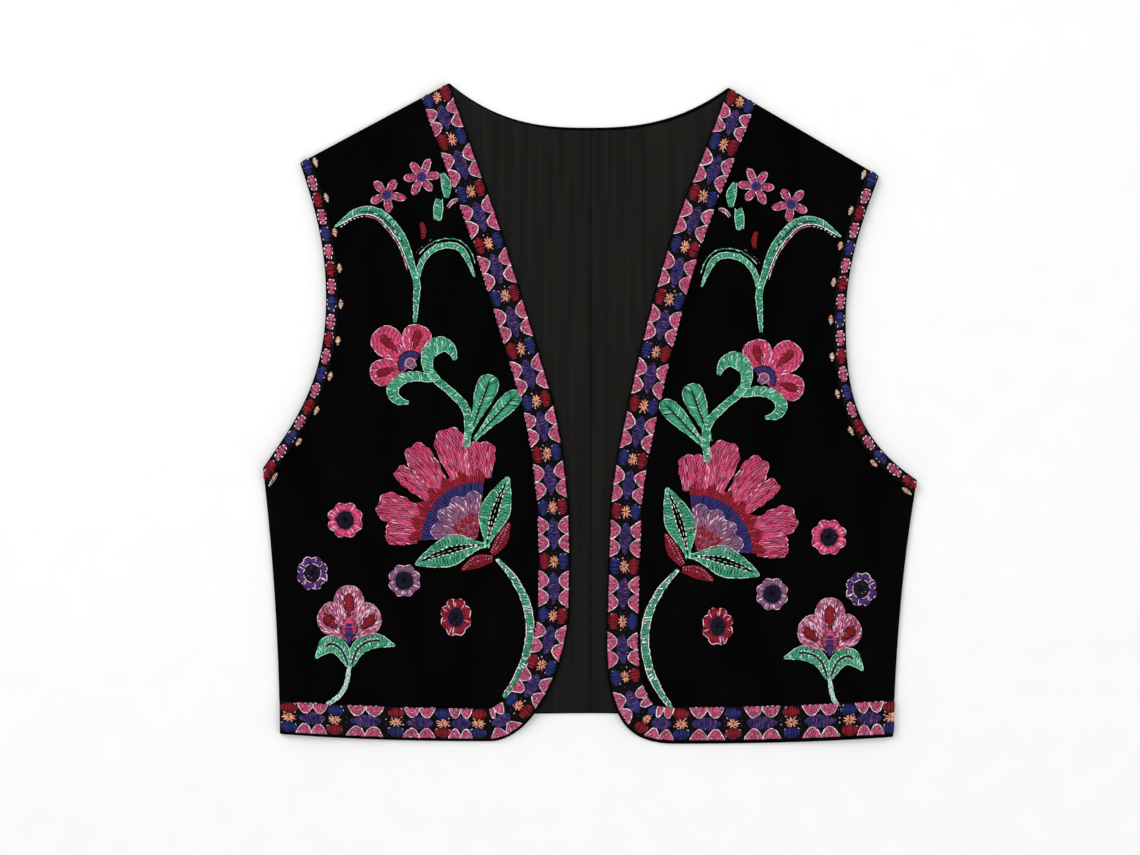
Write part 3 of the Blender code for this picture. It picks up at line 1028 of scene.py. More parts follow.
def split(
    stitches: Stitches, length: float = 3.4, lap: float = 0.3, least: float = 0.8, stagger: float = 0.382
) -> Stitches:
    """Long stitches cut into shorter ones that lap, with their breaks staggered from row to row like bricks.

    Args:
        stitches: the starts and the ends.
        length: the longest stitch before its laps, in millimetres.
        lap: how far each runs past its breaks.
        least: the shortest stitch that is kept, unless it is most of its row.
        stagger: the share of a stitch by which each row's breaks move on.

    Returns:
        The starts and ends of the short stitches.
    """
    starts, ends = stitches
    whole = np.linalg.norm(ends - starts, axis=1)[:, None]
    run = (ends - starts) / np.maximum(whole, 1e-6)
    phase = (np.arange(len(starts)) * stagger) % 1.0
    breaks = (np.arange(int(whole.max() / length) + 3)[None, :] - phase[:, None]) * length
    low, high = np.clip(breaks[:, :-1] - lap, 0.0, whole), np.clip(breaks[:, 1:] + lap, 0.0, whole)
    rows, columns = np.nonzero(high - low > np.minimum(least, 0.6 * whole))
    begin, finish = low[rows, columns][:, None], high[rows, columns][:, None]
    return starts[rows] + run[rows] * begin, starts[rows] + run[rows] * finish


def satin(rail_a: Points, rail_b: Points, spacing: float = 0.84, slant: float = 0.0) -> Stitches:
    """Stitches side by side from one rail to the other, each end moved on by the slant, in millimetres."""
    length_a, length_b = lengths_of(rail_a)[-1], lengths_of(rail_b)[-1]
    count = max(2, int(max(length_a, length_b) / spacing))
    share = (np.arange(count) + 0.5) / count
    ahead = np.clip(share + slant / max(length_b, 1e-6), 0.0, 1.0)
    return at(rail_a, share * length_a), at(rail_b, ahead * length_b)


def ribbon(middle: Sequence[Sequence[float]], widths: Sequence[float]) -> tuple[Points, Points]:
    """The two rails of a curved ribbon: its middle line moved to both sides by half its smoothed width."""
    line = smooth_line(middle)
    share = lengths_of(line) / lengths_of(line)[-1]
    along = smooth_line([(k, width) for k, width in enumerate(widths)])
    half = np.interp(share * (len(widths) - 1), along[:, 0], along[:, 1])[:, None] / 2
    return line + left_of(line) * half, line - left_of(line) * half


def rays(outline: Points, focus: Sequence[float], spacing: float = 0.84) -> Stitches:
    """Rows that fan out from a focus, each from where it enters a closed outline to where it leaves it.

    A ray meets an edge whose two ends lie on its two sides, and from a focus inside the outline it enters at
    once. Where rays crowd towards the focus, every second one stops at half the reach, every fourth at a
    quarter, and so on.

    Args:
        outline: the closed outline, its first point not repeated.
        focus: the point that the rays come from.
        spacing: how far apart they are where they reach furthest.

    Returns:
        The inner and the outer ends of the rows.
    """
    start = outline - np.asarray(focus, float)
    end = np.roll(start, -1, axis=0)
    closed = np.concatenate([start, start[:1]])
    angles = np.unwrap(np.arctan2(closed[:, 1], closed[:, 0]))
    reach = np.linalg.norm(start, axis=1).max()
    count = max(3, int(np.ptp(angles) * reach / spacing))
    angle = angles.min() + (np.arange(count) + 0.5) / count * np.ptp(angles)
    way = toward(angle)
    side_start = way[:, :1] * start[None, :, 1] - way[:, 1:] * start[None, :, 0]
    side_end = way[:, :1] * end[None, :, 1] - way[:, 1:] * end[None, :, 0]
    share = side_start / np.where(side_start == side_end, 1.0, side_start - side_end)
    radius = way @ start.T + share * (way @ (end - start).T)
    met = (side_start * side_end < 0) & (radius > 0)
    opening = np.where(met.sum(axis=1) % 2 == 1, 0.0, np.inf)[:, None]
    crossings = np.concatenate([opening, np.where(met, radius, np.inf)], axis=1)
    ordered = np.sort(crossings, axis=1)[:, :4].reshape(count, -1, 2)
    number = np.arange(count)
    crowd = np.where(number == 0, count, number & -number)
    inner = np.maximum(ordered[..., 0], (reach / 2 / crowd)[:, None])
    rows, pair = np.nonzero(np.isfinite(ordered[..., 1]) & (ordered[..., 1] > inner))
    out = way[rows]
    return focus + out * inner[rows, pair][:, None], focus + out * ordered[rows, pair, 1][:, None]


def line_of(path: Points, length: float = 2.6, lap: float = 0.45) -> Stitches:
    """Stitches end to end along a path, each lapping the next, as in stem stitch."""
    count = max(1, round(lengths_of(path)[-1] / length))
    stops = np.linspace(0.0, lengths_of(path)[-1], count + 1)
    return at(path, stops[:-1] - lap), at(path, stops[1:] + lap)


def dashes(path: Points, length: float = 1.6, gap: float = 1.1) -> Stitches:
    """Short stitches along a path with gaps between them."""
    stops = np.arange(0.0, max(lengths_of(path)[-1] - length, 0.01), length + gap)
    return at(path, stops), at(path, stops + length)


@dataclass(frozen=True)
class Petal:
    """A petal's form: its foot, its axis's angle and length, its widths at foot and fullest, and its bend."""

    foot: Sequence[float]
    angle: float
    length: float
    foot_width: float
    width: float
    fullest: float = 0.68
    roundness: float = 2.3
    bend: float = 0.0

    def sides(self, shrink: float = 0.0, count: int = 40) -> tuple[Points, Points]:
        """The left and right sides, from foot to tip.

        The half width grows from foot to fullest in a smooth step, and then closes on the tip as a
        superellipse. The axis leans across by the bend times the square of the share along it.

        Args:
            shrink: how far to draw the sides in, in millimetres.
            count: the points on each side.

        Returns:
            The two lines of points.
        """
        share = np.sin(np.linspace(0.0, np.pi / 2, count))
        growth = self.foot_width / 2 + (self.width - self.foot_width) / 2 * smoothstep(share / self.fullest)
        past = np.clip((share - self.fullest) / (1 - self.fullest), 0.0, 1.0)
        half = growth * (1.0 - past**self.roundness) ** (1 / self.roundness)
        half = np.maximum(half - shrink, 0.0)
        along = share * (self.length - shrink)
        way = toward(np.radians(self.angle))
        across = np.array([-way[1], way[0]])
        axis = np.asarray(self.foot) + along[:, None] * way + (self.bend * share**2)[:, None] * across
        return axis + half[:, None] * across, axis - half[:, None] * across

    def rim(self, shrink: float = 0.0) -> Points:
        """The line round the petal, up the left side and down the right, which its foot closes."""
        left, right = self.sides(shrink)
        return np.concatenate([left, right[-2::-1]])

    def inside(self, share: float) -> Points:
        """The point midway between the two sides at this share of their lengths."""
        left, right = (at(side, share * lengths_of(side)[-1]) for side in self.sides())
        return (left + right) / 2


@dataclass
class Threads:
    """Stitches laid on one surface of a front, kept as arrays until they are made into one piece.

    A stitch has rings at shares of its length, each with its own share of the width and of the arch. The
    points round a ring have their own sides, rises and painted shades: painted shade on the sides, a painted
    highlight on the ridge. Painted shade darkens the tips and the ends, where a stitch dives into the cloth,
    and sets stitches apart.
    """

    name: str
    laid: Laid
    height: Callable[[Points], Points]
    seed: int
    moved: Sequence[float] = (0.0, 0.0)
    kept: list[Points] = field(default_factory=list)
    width: float = 0.96
    width_range: Sequence[float] = (0.9, 1.1)
    waver: float = 0.17
    rest: float = 0.1
    thickness_share: float = 0.3
    layer: float = 1.8
    layer_waver: float = 0.12
    arch_share: float = 0.08
    arch_most: float = 0.5
    sink: float = 0.5
    brightness: float = 1.3
    brightness_range: Sequence[float] = (0.5, 1.6)
    # Painted shade at the tips and at the ends of each stitch, where it dives into the cloth.
    tip_painted_shade: float = 0.2
    end_painted_shade: float = 0.68
    round_sides: Sequence[float] = (1.0, 0.0, -1.0)
    round_rises: Sequence[float] = (-0.08, 0.72, -0.08)
    # Painted shade on the sides of each ring and a painted highlight on its ridge, as light falls on a round
    # thread.
    round_painted_shades: Sequence[float] = (0.42, 1.1, 0.42)
    round_places: Sequence[float] = (0.0, 0.25, 0.5)
    ring_shares: Sequence[float] = (0.0, 0.1, 0.5, 0.9, 1.0)
    ring_widths: Sequence[float] = (0.0, 0.8, 1.0, 0.8, 0.0)
    ring_arches: Sequence[float] = (0.0, 0.6, 1.0, 0.6, 0.0)

    def __post_init__(self) -> None:
        """Starts the seeded draws."""
        self.draws = np.random.default_rng(self.seed)

    def lay(
        self,
        stitches: Stitches,
        yarn: Yarn,
        width: float = 0.0,
        lift: float = 0.0,
        uneven: float = 0.2,
        mix: Yarn | None = None,
        mixed: float = 0.0,
    ) -> None:
        """Lays stitches in one yarn.

        Args:
            stitches: the starts and the ends.
            yarn: their colour.
            width: the thread's width, or 0 for the usual one.
            lift: how far above the cloth they lie, over what is under them.
            uneven: how much their brightness varies.
            mix: a second yarn strewn among them.
            mixed: the share of stitches in the second yarn.
        """
        placed = [np.asarray(part, float).reshape(-1, 2) + np.asarray(self.moved) for part in stitches]
        starts, ends = (part + self.draws.normal(0.0, self.waver, part.shape) for part in placed)
        count = len(starts)
        colour = np.tile(yarn.value, (count, 1))
        if mix is not None:
            colour = np.where(self.draws.random((count, 1)) < mixed, mix.value, colour)
        shade = np.clip(1.0 + uneven * self.draws.normal(size=(count, 1)), *self.brightness_range)
        colour = colour * self.brightness * shade
        wide = (width or self.width) * self.draws.uniform(*self.width_range, (count, 1))
        lifted = self.layer * lift + self.draws.uniform(0.0, self.layer_waver, (count, 1))
        self.kept.append(np.concatenate([starts, ends, wide, lifted, colour], axis=1))

    def build(self) -> bpy.types.Object:
        """Makes the piece: each stitch is an arched lens of three rings of three points, pointed at its ends.

        A ring's middle lies on the stitch's line, above the cloth by its rest, its lift, a share of its width
        and the arch. The points lie to the left, on the ridge and to the right. The two ends sink under the
        cloth's face.

        Returns:
            The piece, with the colour under its painted shade and highlight, and the place along and round
            each thread as attributes.
        """
        rows = np.concatenate(self.kept)
        start, end, wide, lift, colour = rows[:, :2], rows[:, 2:4], rows[:, 4], rows[:, 5], rows[:, 6:9]
        length = np.linalg.norm(end - start, axis=1)
        points = self.points_on(start, end, length, wide, lift)
        count = points.shape[1]
        # Painted shade and highlight: each point's colour is scaled by the shade of its ring's end and of its
        # place round the ring.
        middle_painted_shade = np.outer([self.end_painted_shade, 1.0, self.end_painted_shade], self.round_painted_shades).ravel()
        shade = np.concatenate([[self.tip_painted_shade], middle_painted_shade, [self.tip_painted_shade]])
        tint = np.ones((len(rows), count, 4))
        tint[..., :3] = colour[:, None, :] * shade[None, :, None]
        place = np.zeros((len(rows), count, 3))
        along = np.concatenate([[0.0], np.repeat(self.ring_shares[1:4], 3), [1.0]])
        place[..., 0] = along * length[:, None]
        place[..., 1] = np.concatenate([[0.0], np.tile(self.round_places, 3), [0.0]])
        first = count * np.arange(len(rows))[:, None, None]
        one = self.faces_of_one(count)
        caps, sides = ((faces[None] + first).reshape(-1, faces.shape[1]) for faces in one)
        if self.laid.cut.sign < 0:
            caps, sides = caps[:, ::-1], sides[:, ::-1]
        mesh = mesh_of(self.name, points.reshape(-1, 3), caps, sides)
        tints = mesh.attributes.new("thread_colour_and_painted_shade", "FLOAT_COLOR", "POINT")
        tints.data.foreach_set("color", tint.ravel())
        places = mesh.attributes.new("thread_place", "FLOAT_VECTOR", "POINT")
        places.data.foreach_set("vector", place.ravel())
        return piece_of(self.name, mesh, Finish.THREAD)

    def faces_of_one(self, count: int) -> tuple[Points, Points]:
        """The faces of a stitch of this many points: the triangles at its tips, and the walls between."""
        here, after = np.arange(3), np.roll(np.arange(3), -1)
        low_cap = np.stack([np.zeros(3, int), 1 + after, 1 + here], axis=1)
        last = count - 4
        high_cap = np.stack([np.full(3, count - 1), last + here, last + after], axis=1)
        walls = [np.stack([k + here, k + after, k + 3 + after, k + 3 + here], axis=1) for k in (1, 4)]
        return np.concatenate([low_cap, high_cap]), np.concatenate(walls)

    def points_on(self, start: Points, end: Points, length: Points, wide: Points, lift: Points) -> Points:
        """The eleven points of each stitch: its start, three rings of three and its end."""
        plan = start[:, None] + (end - start)[:, None] * np.array(self.ring_shares)[None, :, None]
        arch = np.minimum(self.arch_share * length, self.arch_most)[:, None] * np.array(self.ring_arches)
        thickness = self.thickness_share * wide[:, None]
        level = self.height(plan) + self.rest + lift[:, None] + thickness + arch
        level[:, [0, -1]] -= self.sink
        run = (end - start) / np.maximum(length, 1e-6)[:, None]
        side = np.stack([-run[:, 1], run[:, 0]], axis=1)[:, None, None, :]
        half = wide[:, None, None] / 2 * np.array(self.ring_widths)[None, :, None]
        ring = np.empty((len(start), 5, 3, 3))
        ring[..., :2] = plan[:, :, None, :] + side * (half * np.array(self.round_sides))[..., None]
        ring[..., 2] = level[:, :, None] + half * np.array(self.round_rises)
        points = np.concatenate([ring[:, 0, :1], ring[:, 1:4].reshape(-1, 9, 3), ring[:, 4, :1]], axis=1)
        points[..., 0] *= self.laid.cut.sign
        return points


@dataclass(frozen=True)
class Star:
    """A star flower: long rounded petals with pale rims round a blue eye."""

    middle: Sequence[float]
    petals: int
    first_angle: float
    reach: float = 13.0
    width: float = 5.6
    eye: float = 3.8

    def stitch(self, threads: Threads) -> None:
        """Works the petals, their rims and the eye."""
        for k in range(self.petals):
            angle = self.first_angle + 360.0 * k / self.petals
            reach = self.reach * (1.0 + 0.07 * np.sin(2.3 * k + self.first_angle))
            petal = Petal(self.middle, angle, reach, 2.4, self.width, fullest=0.6, roundness=2.6)
            threads.lay(satin(*petal.sides()), Yarn.ROSE, mix=Yarn.PINK, mixed=0.35)
            threads.lay(line_of(petal.rim(0.1)), Yarn.BLUSH, width=0.8, lift=0.2, mix=Yarn.ROSE, mixed=0.35)
        ring = np.asarray(self.middle) + toward(np.linspace(0.0, 2 * np.pi, 24, endpoint=False)) * self.eye
        threads.lay(rays(ring, self.middle), Yarn.BLUE, lift=0.4, mix=Yarn.VIOLET, mixed=0.3)
        threads.lay(line_of(np.concatenate([ring, ring[:1]]), 1.6), Yarn.ROSE, width=0.8, lift=0.42)


@dataclass(frozen=True)
class Blade:
    """A curved ribbon of slanted satin, with a pale thread along both of its edges."""

    middle: Sequence[Sequence[float]]
    widths: Sequence[float]
    yarn: Yarn = Yarn.GREEN
    rim: Yarn = Yarn.MINT
    slant: float = 1.6
    mixed: float = 0.2
    lines: Sequence[float] = ()

    def stitch(self, threads: Threads, lift: float = 0.0) -> None:
        """Works the ribbon, its rims, and pale dashes along it at its lines, which are shares across it.

        A wide ribbon is worked in split rows, and a rim is mixed with the ribbon's own yarn here and there.
        """
        left, right = ribbon(self.middle, self.widths)
        rows = split(satin(left, right, slant=self.slant))
        threads.lay(rows, self.yarn, lift=lift, mix=self.rim, mixed=0.14)
        over = {"width": 0.8, "lift": lift + 0.14, "uneven": 0.14, "mix": self.yarn, "mixed": self.mixed}
        for rail in (left, right):
            threads.lay(line_of(rail), self.rim, **over)
        over = {"width": 0.75, "lift": lift + 0.2, "mix": Yarn.ROSE, "mixed": 0.35}
        for share in self.lines:
            rail = (left + (right - left) * share)[3:-3]
            threads.lay(dashes(rail, 1.1, 0.8), Yarn.BLUSH, **over)


@dataclass
class StarSpray:
    """The two stars at the shoulder, and the small bits of leaf and bud between them and the band."""

    shift: Sequence[float] = (-1.6, -6.6)
    stars: Sequence[Star] = (Star((118.0, 165.6), 6, 55.0), Star((142.1, 153.0), 5, 47.0, reach=12.6))
    bits: Sequence[Blade] = (
        Blade([(103.4, 168.5), (100.6, 160.5), (100.4, 151.0)], (1.6, 5.6, 6.0, 2.0)),
        Blade([(105.4, 150.5), (106.2, 143.0), (106.6, 135.4)], (4.2, 6.0, 6.2, 4.2)),
        Blade([(99.6, 144.0), (95.9, 148.6), (91.4, 149.9)], (1.2, 2.4, 1.2), Yarn.LILAC, Yarn.BLUSH),
        Blade([(118.3, 134.1), (116.2, 127.8), (116.9, 122.2)], (1.6, 3.4, 1.6), Yarn.RED, Yarn.RED),
    )

    def stitch(self, threads: Threads) -> None:
        """Works the stars and the bits."""
        for motif in (*self.stars, *self.bits):
            motif.stitch(threads)


@dataclass
class ArchSpray:
    """A stem that parts into a long and a short arching leaf, with pale and pink lines beside them."""

    shift: Sequence[float] = (-2.8, -7.0)
    stem: Blade = Blade([(122.5, 63.5), (121.4, 79.5), (121.0, 90.0), (122.6, 99.0)], (1.6, 3.2, 4.2, 4.0))
    long_leaf: Blade = Blade(
        [(122.4, 96.0), (131.0, 121.0), (146.0, 139.0), (162.0, 141.4), (178.5, 130.6)],
        (3.6, 5.4, 6.2, 5.0, 0.8),
    )
    short_leaf: Blade = Blade(
        [(121.2, 93.5), (116.5, 108.0), (104.5, 117.2), (90.0, 114.8), (80.6, 95.8)],
        (2.6, 3.6, 3.8, 3.6, 0.9),
    )
    under_lines: Sequence[tuple[float, Yarn, int, int]] = (
        (-1.9, Yarn.NIGHT, 46, -50), (0.1, Yarn.WHITE, 10, -6), (1.5, Yarn.ROSE, 10, -60),
    )
    over_gap: float = 2.6

    def stitch(self, threads: Threads) -> None:
        """Works the stem and both leaves, the lines under the long leaf and the line over the short one.

        An under line has its gap from the leaf's edge, its yarn, and its first and last point on the rail.
        """
        for blade in (self.stem, self.long_leaf, self.short_leaf):
            blade.stitch(threads)
        for gap, yarn, first, last in self.under_lines:
            under = self.beside(self.long_leaf, gap, upper=False)
            threads.lay(line_of(under[first:last]), yarn, width=0.95, lift=0.3, mix=Yarn.MINT, mixed=0.2)
        threads.lay(dashes(under[-58:-4]), Yarn.WHITE, width=0.95, lift=0.1)
        over = self.beside(self.short_leaf, self.over_gap, upper=True)
        threads.lay(line_of(over[52:-18]), Yarn.GREEN, width=0.9, lift=0.05, mix=Yarn.MINT, mixed=0.3)
        specks = dashes(over[20:90] + (1.4, 1.6), 1.6, 1.0)
        threads.lay(specks, Yarn.ROSE, width=0.6, uneven=0.4, mix=Yarn.NIGHT, mixed=0.5)

    def beside(self, leaf: Blade, gap: float, upper: bool) -> Points:
        """The line that runs at this gap outside a leaf, along the upper or the lower of its edges."""
        rails = ribbon(leaf.middle, [width + 2 * gap for width in leaf.widths])
        low, high = sorted(rails, key=lambda rail: rail[len(rail) // 2, 1])
        return high if upper else low


@dataclass
class MiddleFlower:
    """Three round lobes, each with a red drop, over a half ring, with two curling leaves and a stem."""

    hub: Sequence[float] = (125.3, 34.7)
    shift: Sequence[float] = (-4.2, -10.5)
    lobes: Sequence[Sequence[float]] = ((43.0, 33.4, 21.5), (103.0, 27.8, 20.5), (-17.0, 29.4, 18.5))
    drop: Sequence[float] = (0.36, 0.5, 7.4)
    ring: Sequence[float] = (9.2, 4.8)
    ring_angles: Sequence[float] = (-38.0, 136.0)
    upper_curl: Blade = Blade(
        [(106.4, 22.4), (113.2, 31.5), (112.8, 42.5), (104.5, 48.4), (97.3, 45.2), (94.2, 37.6)],
        (4.6, 6.4, 8.4, 11.4, 7.6, 2.0), slant=0.8,
    )
    lower_curl: Blade = Blade(
        [(109.9, 24.0), (121.0, 26.2), (131.5, 24.0), (138.4, 16.8), (134.6, 9.4), (126.6, 7.6)],
        (4.0, 6.4, 6.6, 7.4, 6.4, 1.6), slant=0.8,
    )
    stem: Blade = Blade(
        [(107.3, 23.2), (96.4, 14.2), (87.4, 4.4), (85.0, -7.6), (86.6, -23.4)],
        (5.0, 4.8, 5.4, 5.0, 4.2),
    )

    def stitch(self, threads: Threads) -> None:
        """Works the lobes from the hub outwards, their rims and drops, the ring, the curls and the stem."""
        for angle, reach, width in self.lobes:
            lobe = Petal(self.hub, angle, reach, 4.0, width, fullest=0.66, roundness=2.5)
            rows = split(rays(lobe.rim(), self.hub))
            threads.lay(rows, Yarn.PINK, lift=0.1, mix=Yarn.BLUSH, mixed=0.07)
            rim = line_of(lobe.rim(0.1)[8:-8])
            threads.lay(rim, Yarn.BLUSH, width=0.8, lift=0.3, mix=Yarn.PINK, mixed=0.3)
            along, share, wide = self.drop
            foot = np.asarray(self.hub) + toward(np.radians(angle)) * reach * along
            drop = Petal(foot, angle, reach * share, 1.4, wide, fullest=0.62)
            threads.lay(satin(*drop.sides()), Yarn.RED, lift=0.42)
        way = toward(np.radians(np.linspace(*self.ring_angles, 60)))
        outer, inner = (np.asarray(self.hub) + way * radius for radius in self.ring)
        threads.lay(satin(inner, outer), Yarn.BLUE, lift=0.5, mix=Yarn.VIOLET, mixed=0.25)
        threads.lay(line_of(outer, 1.6), Yarn.NIGHT, width=0.8, lift=0.5, mix=Yarn.ROSE, mixed=0.3)
        core = Petal(np.asarray(self.hub) + (-2.8, -2.8), 45.0, 8.6, 4.0, 7.4, fullest=0.5)
        threads.lay(satin(*core.sides()), Yarn.LILAC, lift=0.55)
        threads.lay(line_of(core.rim(0.3), 1.6), Yarn.BLUSH, width=0.75, lift=0.7)
        for blade in (self.lower_curl, self.upper_curl, self.stem):
            blade.stitch(threads, lift=0.25)


@dataclass
class Paddles:
    """Two paddle-shaped leaves on the stem, each with a double vein."""

    shift: Sequence[float] = (0.7, -6.3)
    leaves: Sequence[Petal] = (
        Petal((83.6, -13.6), 109.5, 43.0, 2.6, 15.0, fullest=0.8, roundness=2.6, bend=0.5),
        Petal((81.2, -18.8), 131.0, 46.5, 2.6, 12.6, fullest=0.78, roundness=2.4, bend=1.5),
    )

    def stitch(self, threads: Threads) -> None:
        """Works each half of a leaf in slanted satin away from its vein."""
        for leaf in self.leaves:
            left, right = leaf.sides()
            vein = (left + right) / 2
            for side in (left, right):
                threads.lay(satin(vein, side, slant=2.2), Yarn.GREEN, mix=Yarn.MINT, mixed=0.05)
            threads.lay(line_of(leaf.rim(0.1)), Yarn.MINT, width=0.8, lift=0.16, mix=Yarn.GREEN, mixed=0.4)
            threads.lay(line_of(vein[4:26]), Yarn.NIGHT, width=0.9, lift=0.2)
            threads.lay(dashes(vein[4:24] + (0.7, 0.5), 1.8, 0.8), Yarn.MINT, width=0.8, lift=0.3)


@dataclass
class GreatFlower:
    """The great half flower: a fan of broad petals, a red toothed ring, a blue ring and a lilac heart.

    A petal has its angle, reach and width. The teeth have the ring's inner and outer radius, their depth and
    half the angle of each, and the inner fan its radius, depth and half angle. The heart has its radius and
    the depth of its scallops, and a petal's ruffle its depth and half its count.
    """

    hub: Sequence[float] = (78.4, -87.2)
    shift: Sequence[float] = (-4.2, -9.1)
    fan: Sequence[float] = (-2.0, 96.0)
    petals: Sequence[Sequence[float]] = (
        (4.0, 65.0, 18.5), (19.5, 74.5, 21.5), (40.5, 75.0, 13.0),
        (54.0, 80.0, 19.5), (73.6, 80.0, 22.5), (91.4, 68.0, 22.5),
    )
    petal_foot: float = 42.0
    foot_fullness: float = 1.12
    teeth: Sequence[float] = (38.5, 46.5, 6.0, 7.5)
    blue_ring: Sequence[float] = (28.0, 39.5)
    heart: Sequence[float] = (31.0, 2.4)
    heart_scallops: int = 4
    inner_fan: Sequence[float] = (19.0, 6.0, 12.0)
    ruffle: Sequence[float] = (2.3, 4.0)
    ruffle_centre: float = 0.62
    ruffle_fade: float = 0.2
    vein_reach: float = 0.96
    vein_share: float = 0.6
    ring_points: int = 110
    heart_points: int = 120

    def polar(self, angle: Points, radius: Points | float) -> Points:
        """Points at angles, in degrees, and radii from the hub."""
        return np.asarray(self.hub) + toward(np.radians(angle)) * np.asarray(radius)[..., None]

    def stitch(self, threads: Threads) -> None:
        """Works the petals first, then each ring over the feet of the last."""
        for angle, reach, width in self.petals:
            self.stitch_petal(threads, angle, reach, width)
        angle = np.linspace(*self.fan, self.ring_points)
        inner, outer, depth, pitch = self.teeth
        teeth = self.polar(angle, inner), self.polar(angle, outer + depth * zigzag(angle, pitch))
        threads.lay(split(satin(*teeth), 5.0), Yarn.RED, lift=0.34, mix=Yarn.PINK, mixed=0.05)
        ring = (self.polar(angle, radius) for radius in self.blue_ring)
        threads.lay(split(satin(*ring), 5.0), Yarn.BLUE, lift=0.44, mix=Yarn.VIOLET, mixed=0.3)
        self.stitch_heart(threads)

    def stitch_petal(self, threads: Threads, angle: float, reach: float, width: float) -> None:
        """One petal of the fan: long rows towards the hub, a rim, and pale lines strewn along its rows, which
        are partly pale thread and partly painted highlight.

        The outline is drawn in by the ruffle's depth times 1 - |sin| of its turns, and less so near the foot.
        """
        foot = self.polar(angle, self.petal_foot)
        near = width * self.petal_foot / reach * self.foot_fullness
        petal = Petal(foot, angle, reach - self.petal_foot, near, width, fullest=0.66, roundness=3.0)
        outline = petal.rim()
        depth, lobes = self.ruffle
        share = lengths_of(outline)[:, None] / lengths_of(outline)[-1]
        inwards = unit(petal.inside(self.ruffle_centre) - outline)
        tip = smoothstep((0.5 - np.abs(share - 0.5)) / self.ruffle_fade)
        outline = outline + inwards * depth * tip * (1.0 - np.abs(np.sin(np.pi * share * lobes * 2.0)))
        rows = rays(outline, self.hub)
        threads.lay(split(rows, 4.4), Yarn.PINK, lift=0.06, mix=Yarn.ROSE, mixed=0.25)
        threads.lay(line_of(outline[3:-3]), Yarn.PINK, width=0.9, lift=0.2, mix=Yarn.BLUSH, mixed=0.3)
        near, far = (ends[4::5] for ends in rows)
        veins = split((near, far * self.vein_reach + near * (1.0 - self.vein_reach)), 5.5)
        chosen = threads.draws.random(len(veins[0])) < self.vein_share
        veins = tuple(ends[chosen] for ends in veins)
        threads.lay(veins, Yarn.BLUSH, width=0.55, lift=0.3, mix=Yarn.RED, mixed=0.5)

    def stitch_heart(self, threads: Threads) -> None:
        """The lilac heart, with its scalloped pale rim, and the red fan at the hub."""
        low, high = self.fan
        angle = np.linspace(low, high, self.heart_points)
        radius, depth = self.heart
        bumps = np.abs(np.sin(np.pi * self.heart_scallops * (angle - low) / (high - low)))
        rim = self.polar(angle, radius - depth + 2 * depth * bumps)
        centre = self.polar(angle, 1.0)
        heart = np.concatenate([rim, centre[::-1]])
        threads.lay(split(rays(heart, self.hub), 4.0), Yarn.LILAC, lift=0.54, mix=Yarn.BLUSH, mixed=0.1)
        threads.lay(line_of(rim, 2.0), Yarn.BLUSH, width=0.8, lift=0.66, mix=Yarn.LILAC, mixed=0.3)
        radius, depth, pitch = self.inner_fan
        jagged = self.polar(angle, radius + depth * zigzag(angle, pitch))
        fan = np.concatenate([jagged, centre[::-1]])[14:]
        threads.lay(split(rays(fan, self.hub), 5.0), Yarn.RED, lift=0.62, mix=Yarn.LILAC, mixed=0.06)


@dataclass(frozen=True)
class Leaf:
    """A broad leaf in two halves of slanted satin, with a dark slit and pale dashes between them."""

    foot: Sequence[float]
    angle: float
    length: float
    width: float
    bend: float

    def stitch(self, threads: Threads) -> None:
        """Works both halves from the rim to the slit, which stays bare velvet, and the lines in it."""
        petal = Petal(self.foot, self.angle, self.length, 2.6, self.width, 0.5, 1.3, self.bend)
        left, right = petal.sides()
        axis = (left + right) / 2
        slit = np.interp(np.arange(len(axis)), [0, 10, 22, 32], [0.12, 0.26, 0.26, 0.0])[:, None]
        for side, depth in ((left, 1.0), (right, 0.8)):
            inside = axis + (side - axis) * slit * depth
            rows = split(satin(inside, side, slant=2.6), 5.0)
            threads.lay(rows, Yarn.GREEN, lift=0.6, mix=Yarn.MINT, mixed=0.08)
            threads.lay(line_of(side), Yarn.MINT, width=0.85, lift=0.76, mix=Yarn.GREEN, mixed=0.25)
            threads.lay(dashes(inside[3:28], 2.6, 0.8), Yarn.WHITE, width=0.9, lift=0.72)
            vein = axis + (side - axis) * 0.6
            threads.lay(dashes(vein[6:30], 2.4, 1.0), Yarn.NIGHT, width=0.8, lift=0.74)
        threads.lay(dashes(axis[6:26], 3.0, 1.2), Yarn.MINT, width=0.8, lift=0.2, mix=Yarn.GREEN, mixed=0.3)


@dataclass
class FlowerLeaves:
    """The two broad leaves at the great flower's foot, the red sepals and the long stem down to the band."""

    shift: Sequence[float] = (-3.6, -7.6)
    leaves: Sequence[Leaf] = (
        Leaf((72.4, -94.2), 98.0, 51.5, 21.5, 8.0), Leaf((72.4, -91.8), -2.5, 50.4, 22.0, -11.5),
    )
    sepals: Sequence[Blade] = (
        Blade(
            [(68.8, -98.6), (62.6, -90.0), (56.6, -76.4)],
            (3.2, 8.0, 1.2), Yarn.RED, Yarn.RED, lines=(0.5, 0.85),
        ),
        Blade(
            [(67.6, -101.2), (79.0, -103.4), (89.6, -109.4)],
            (3.6, 8.6, 1.4), Yarn.RED, Yarn.RED, lines=(0.15, 0.5),
        ),
    )
    stem: Blade = Blade(
        [
            (65.3, -101.4), (53.0, -116.0), (44.4, -133.4), (42.0, -153.0), (45.6, -172.5), (52.4, -186.6),
            (60.4, -198.6),
        ],
        (1.8, 4.2, 5.2, 5.3, 5.2, 4.6, 2.4), rim=Yarn.WHITE,
    )

    def stitch(self, threads: Threads) -> None:
        """Works the sepals, the stem and then the leaves over them."""
        for blade in (*self.sepals, self.stem):
            blade.stitch(threads, lift=0.1)
        for leaf in self.leaves:
            leaf.stitch(threads)


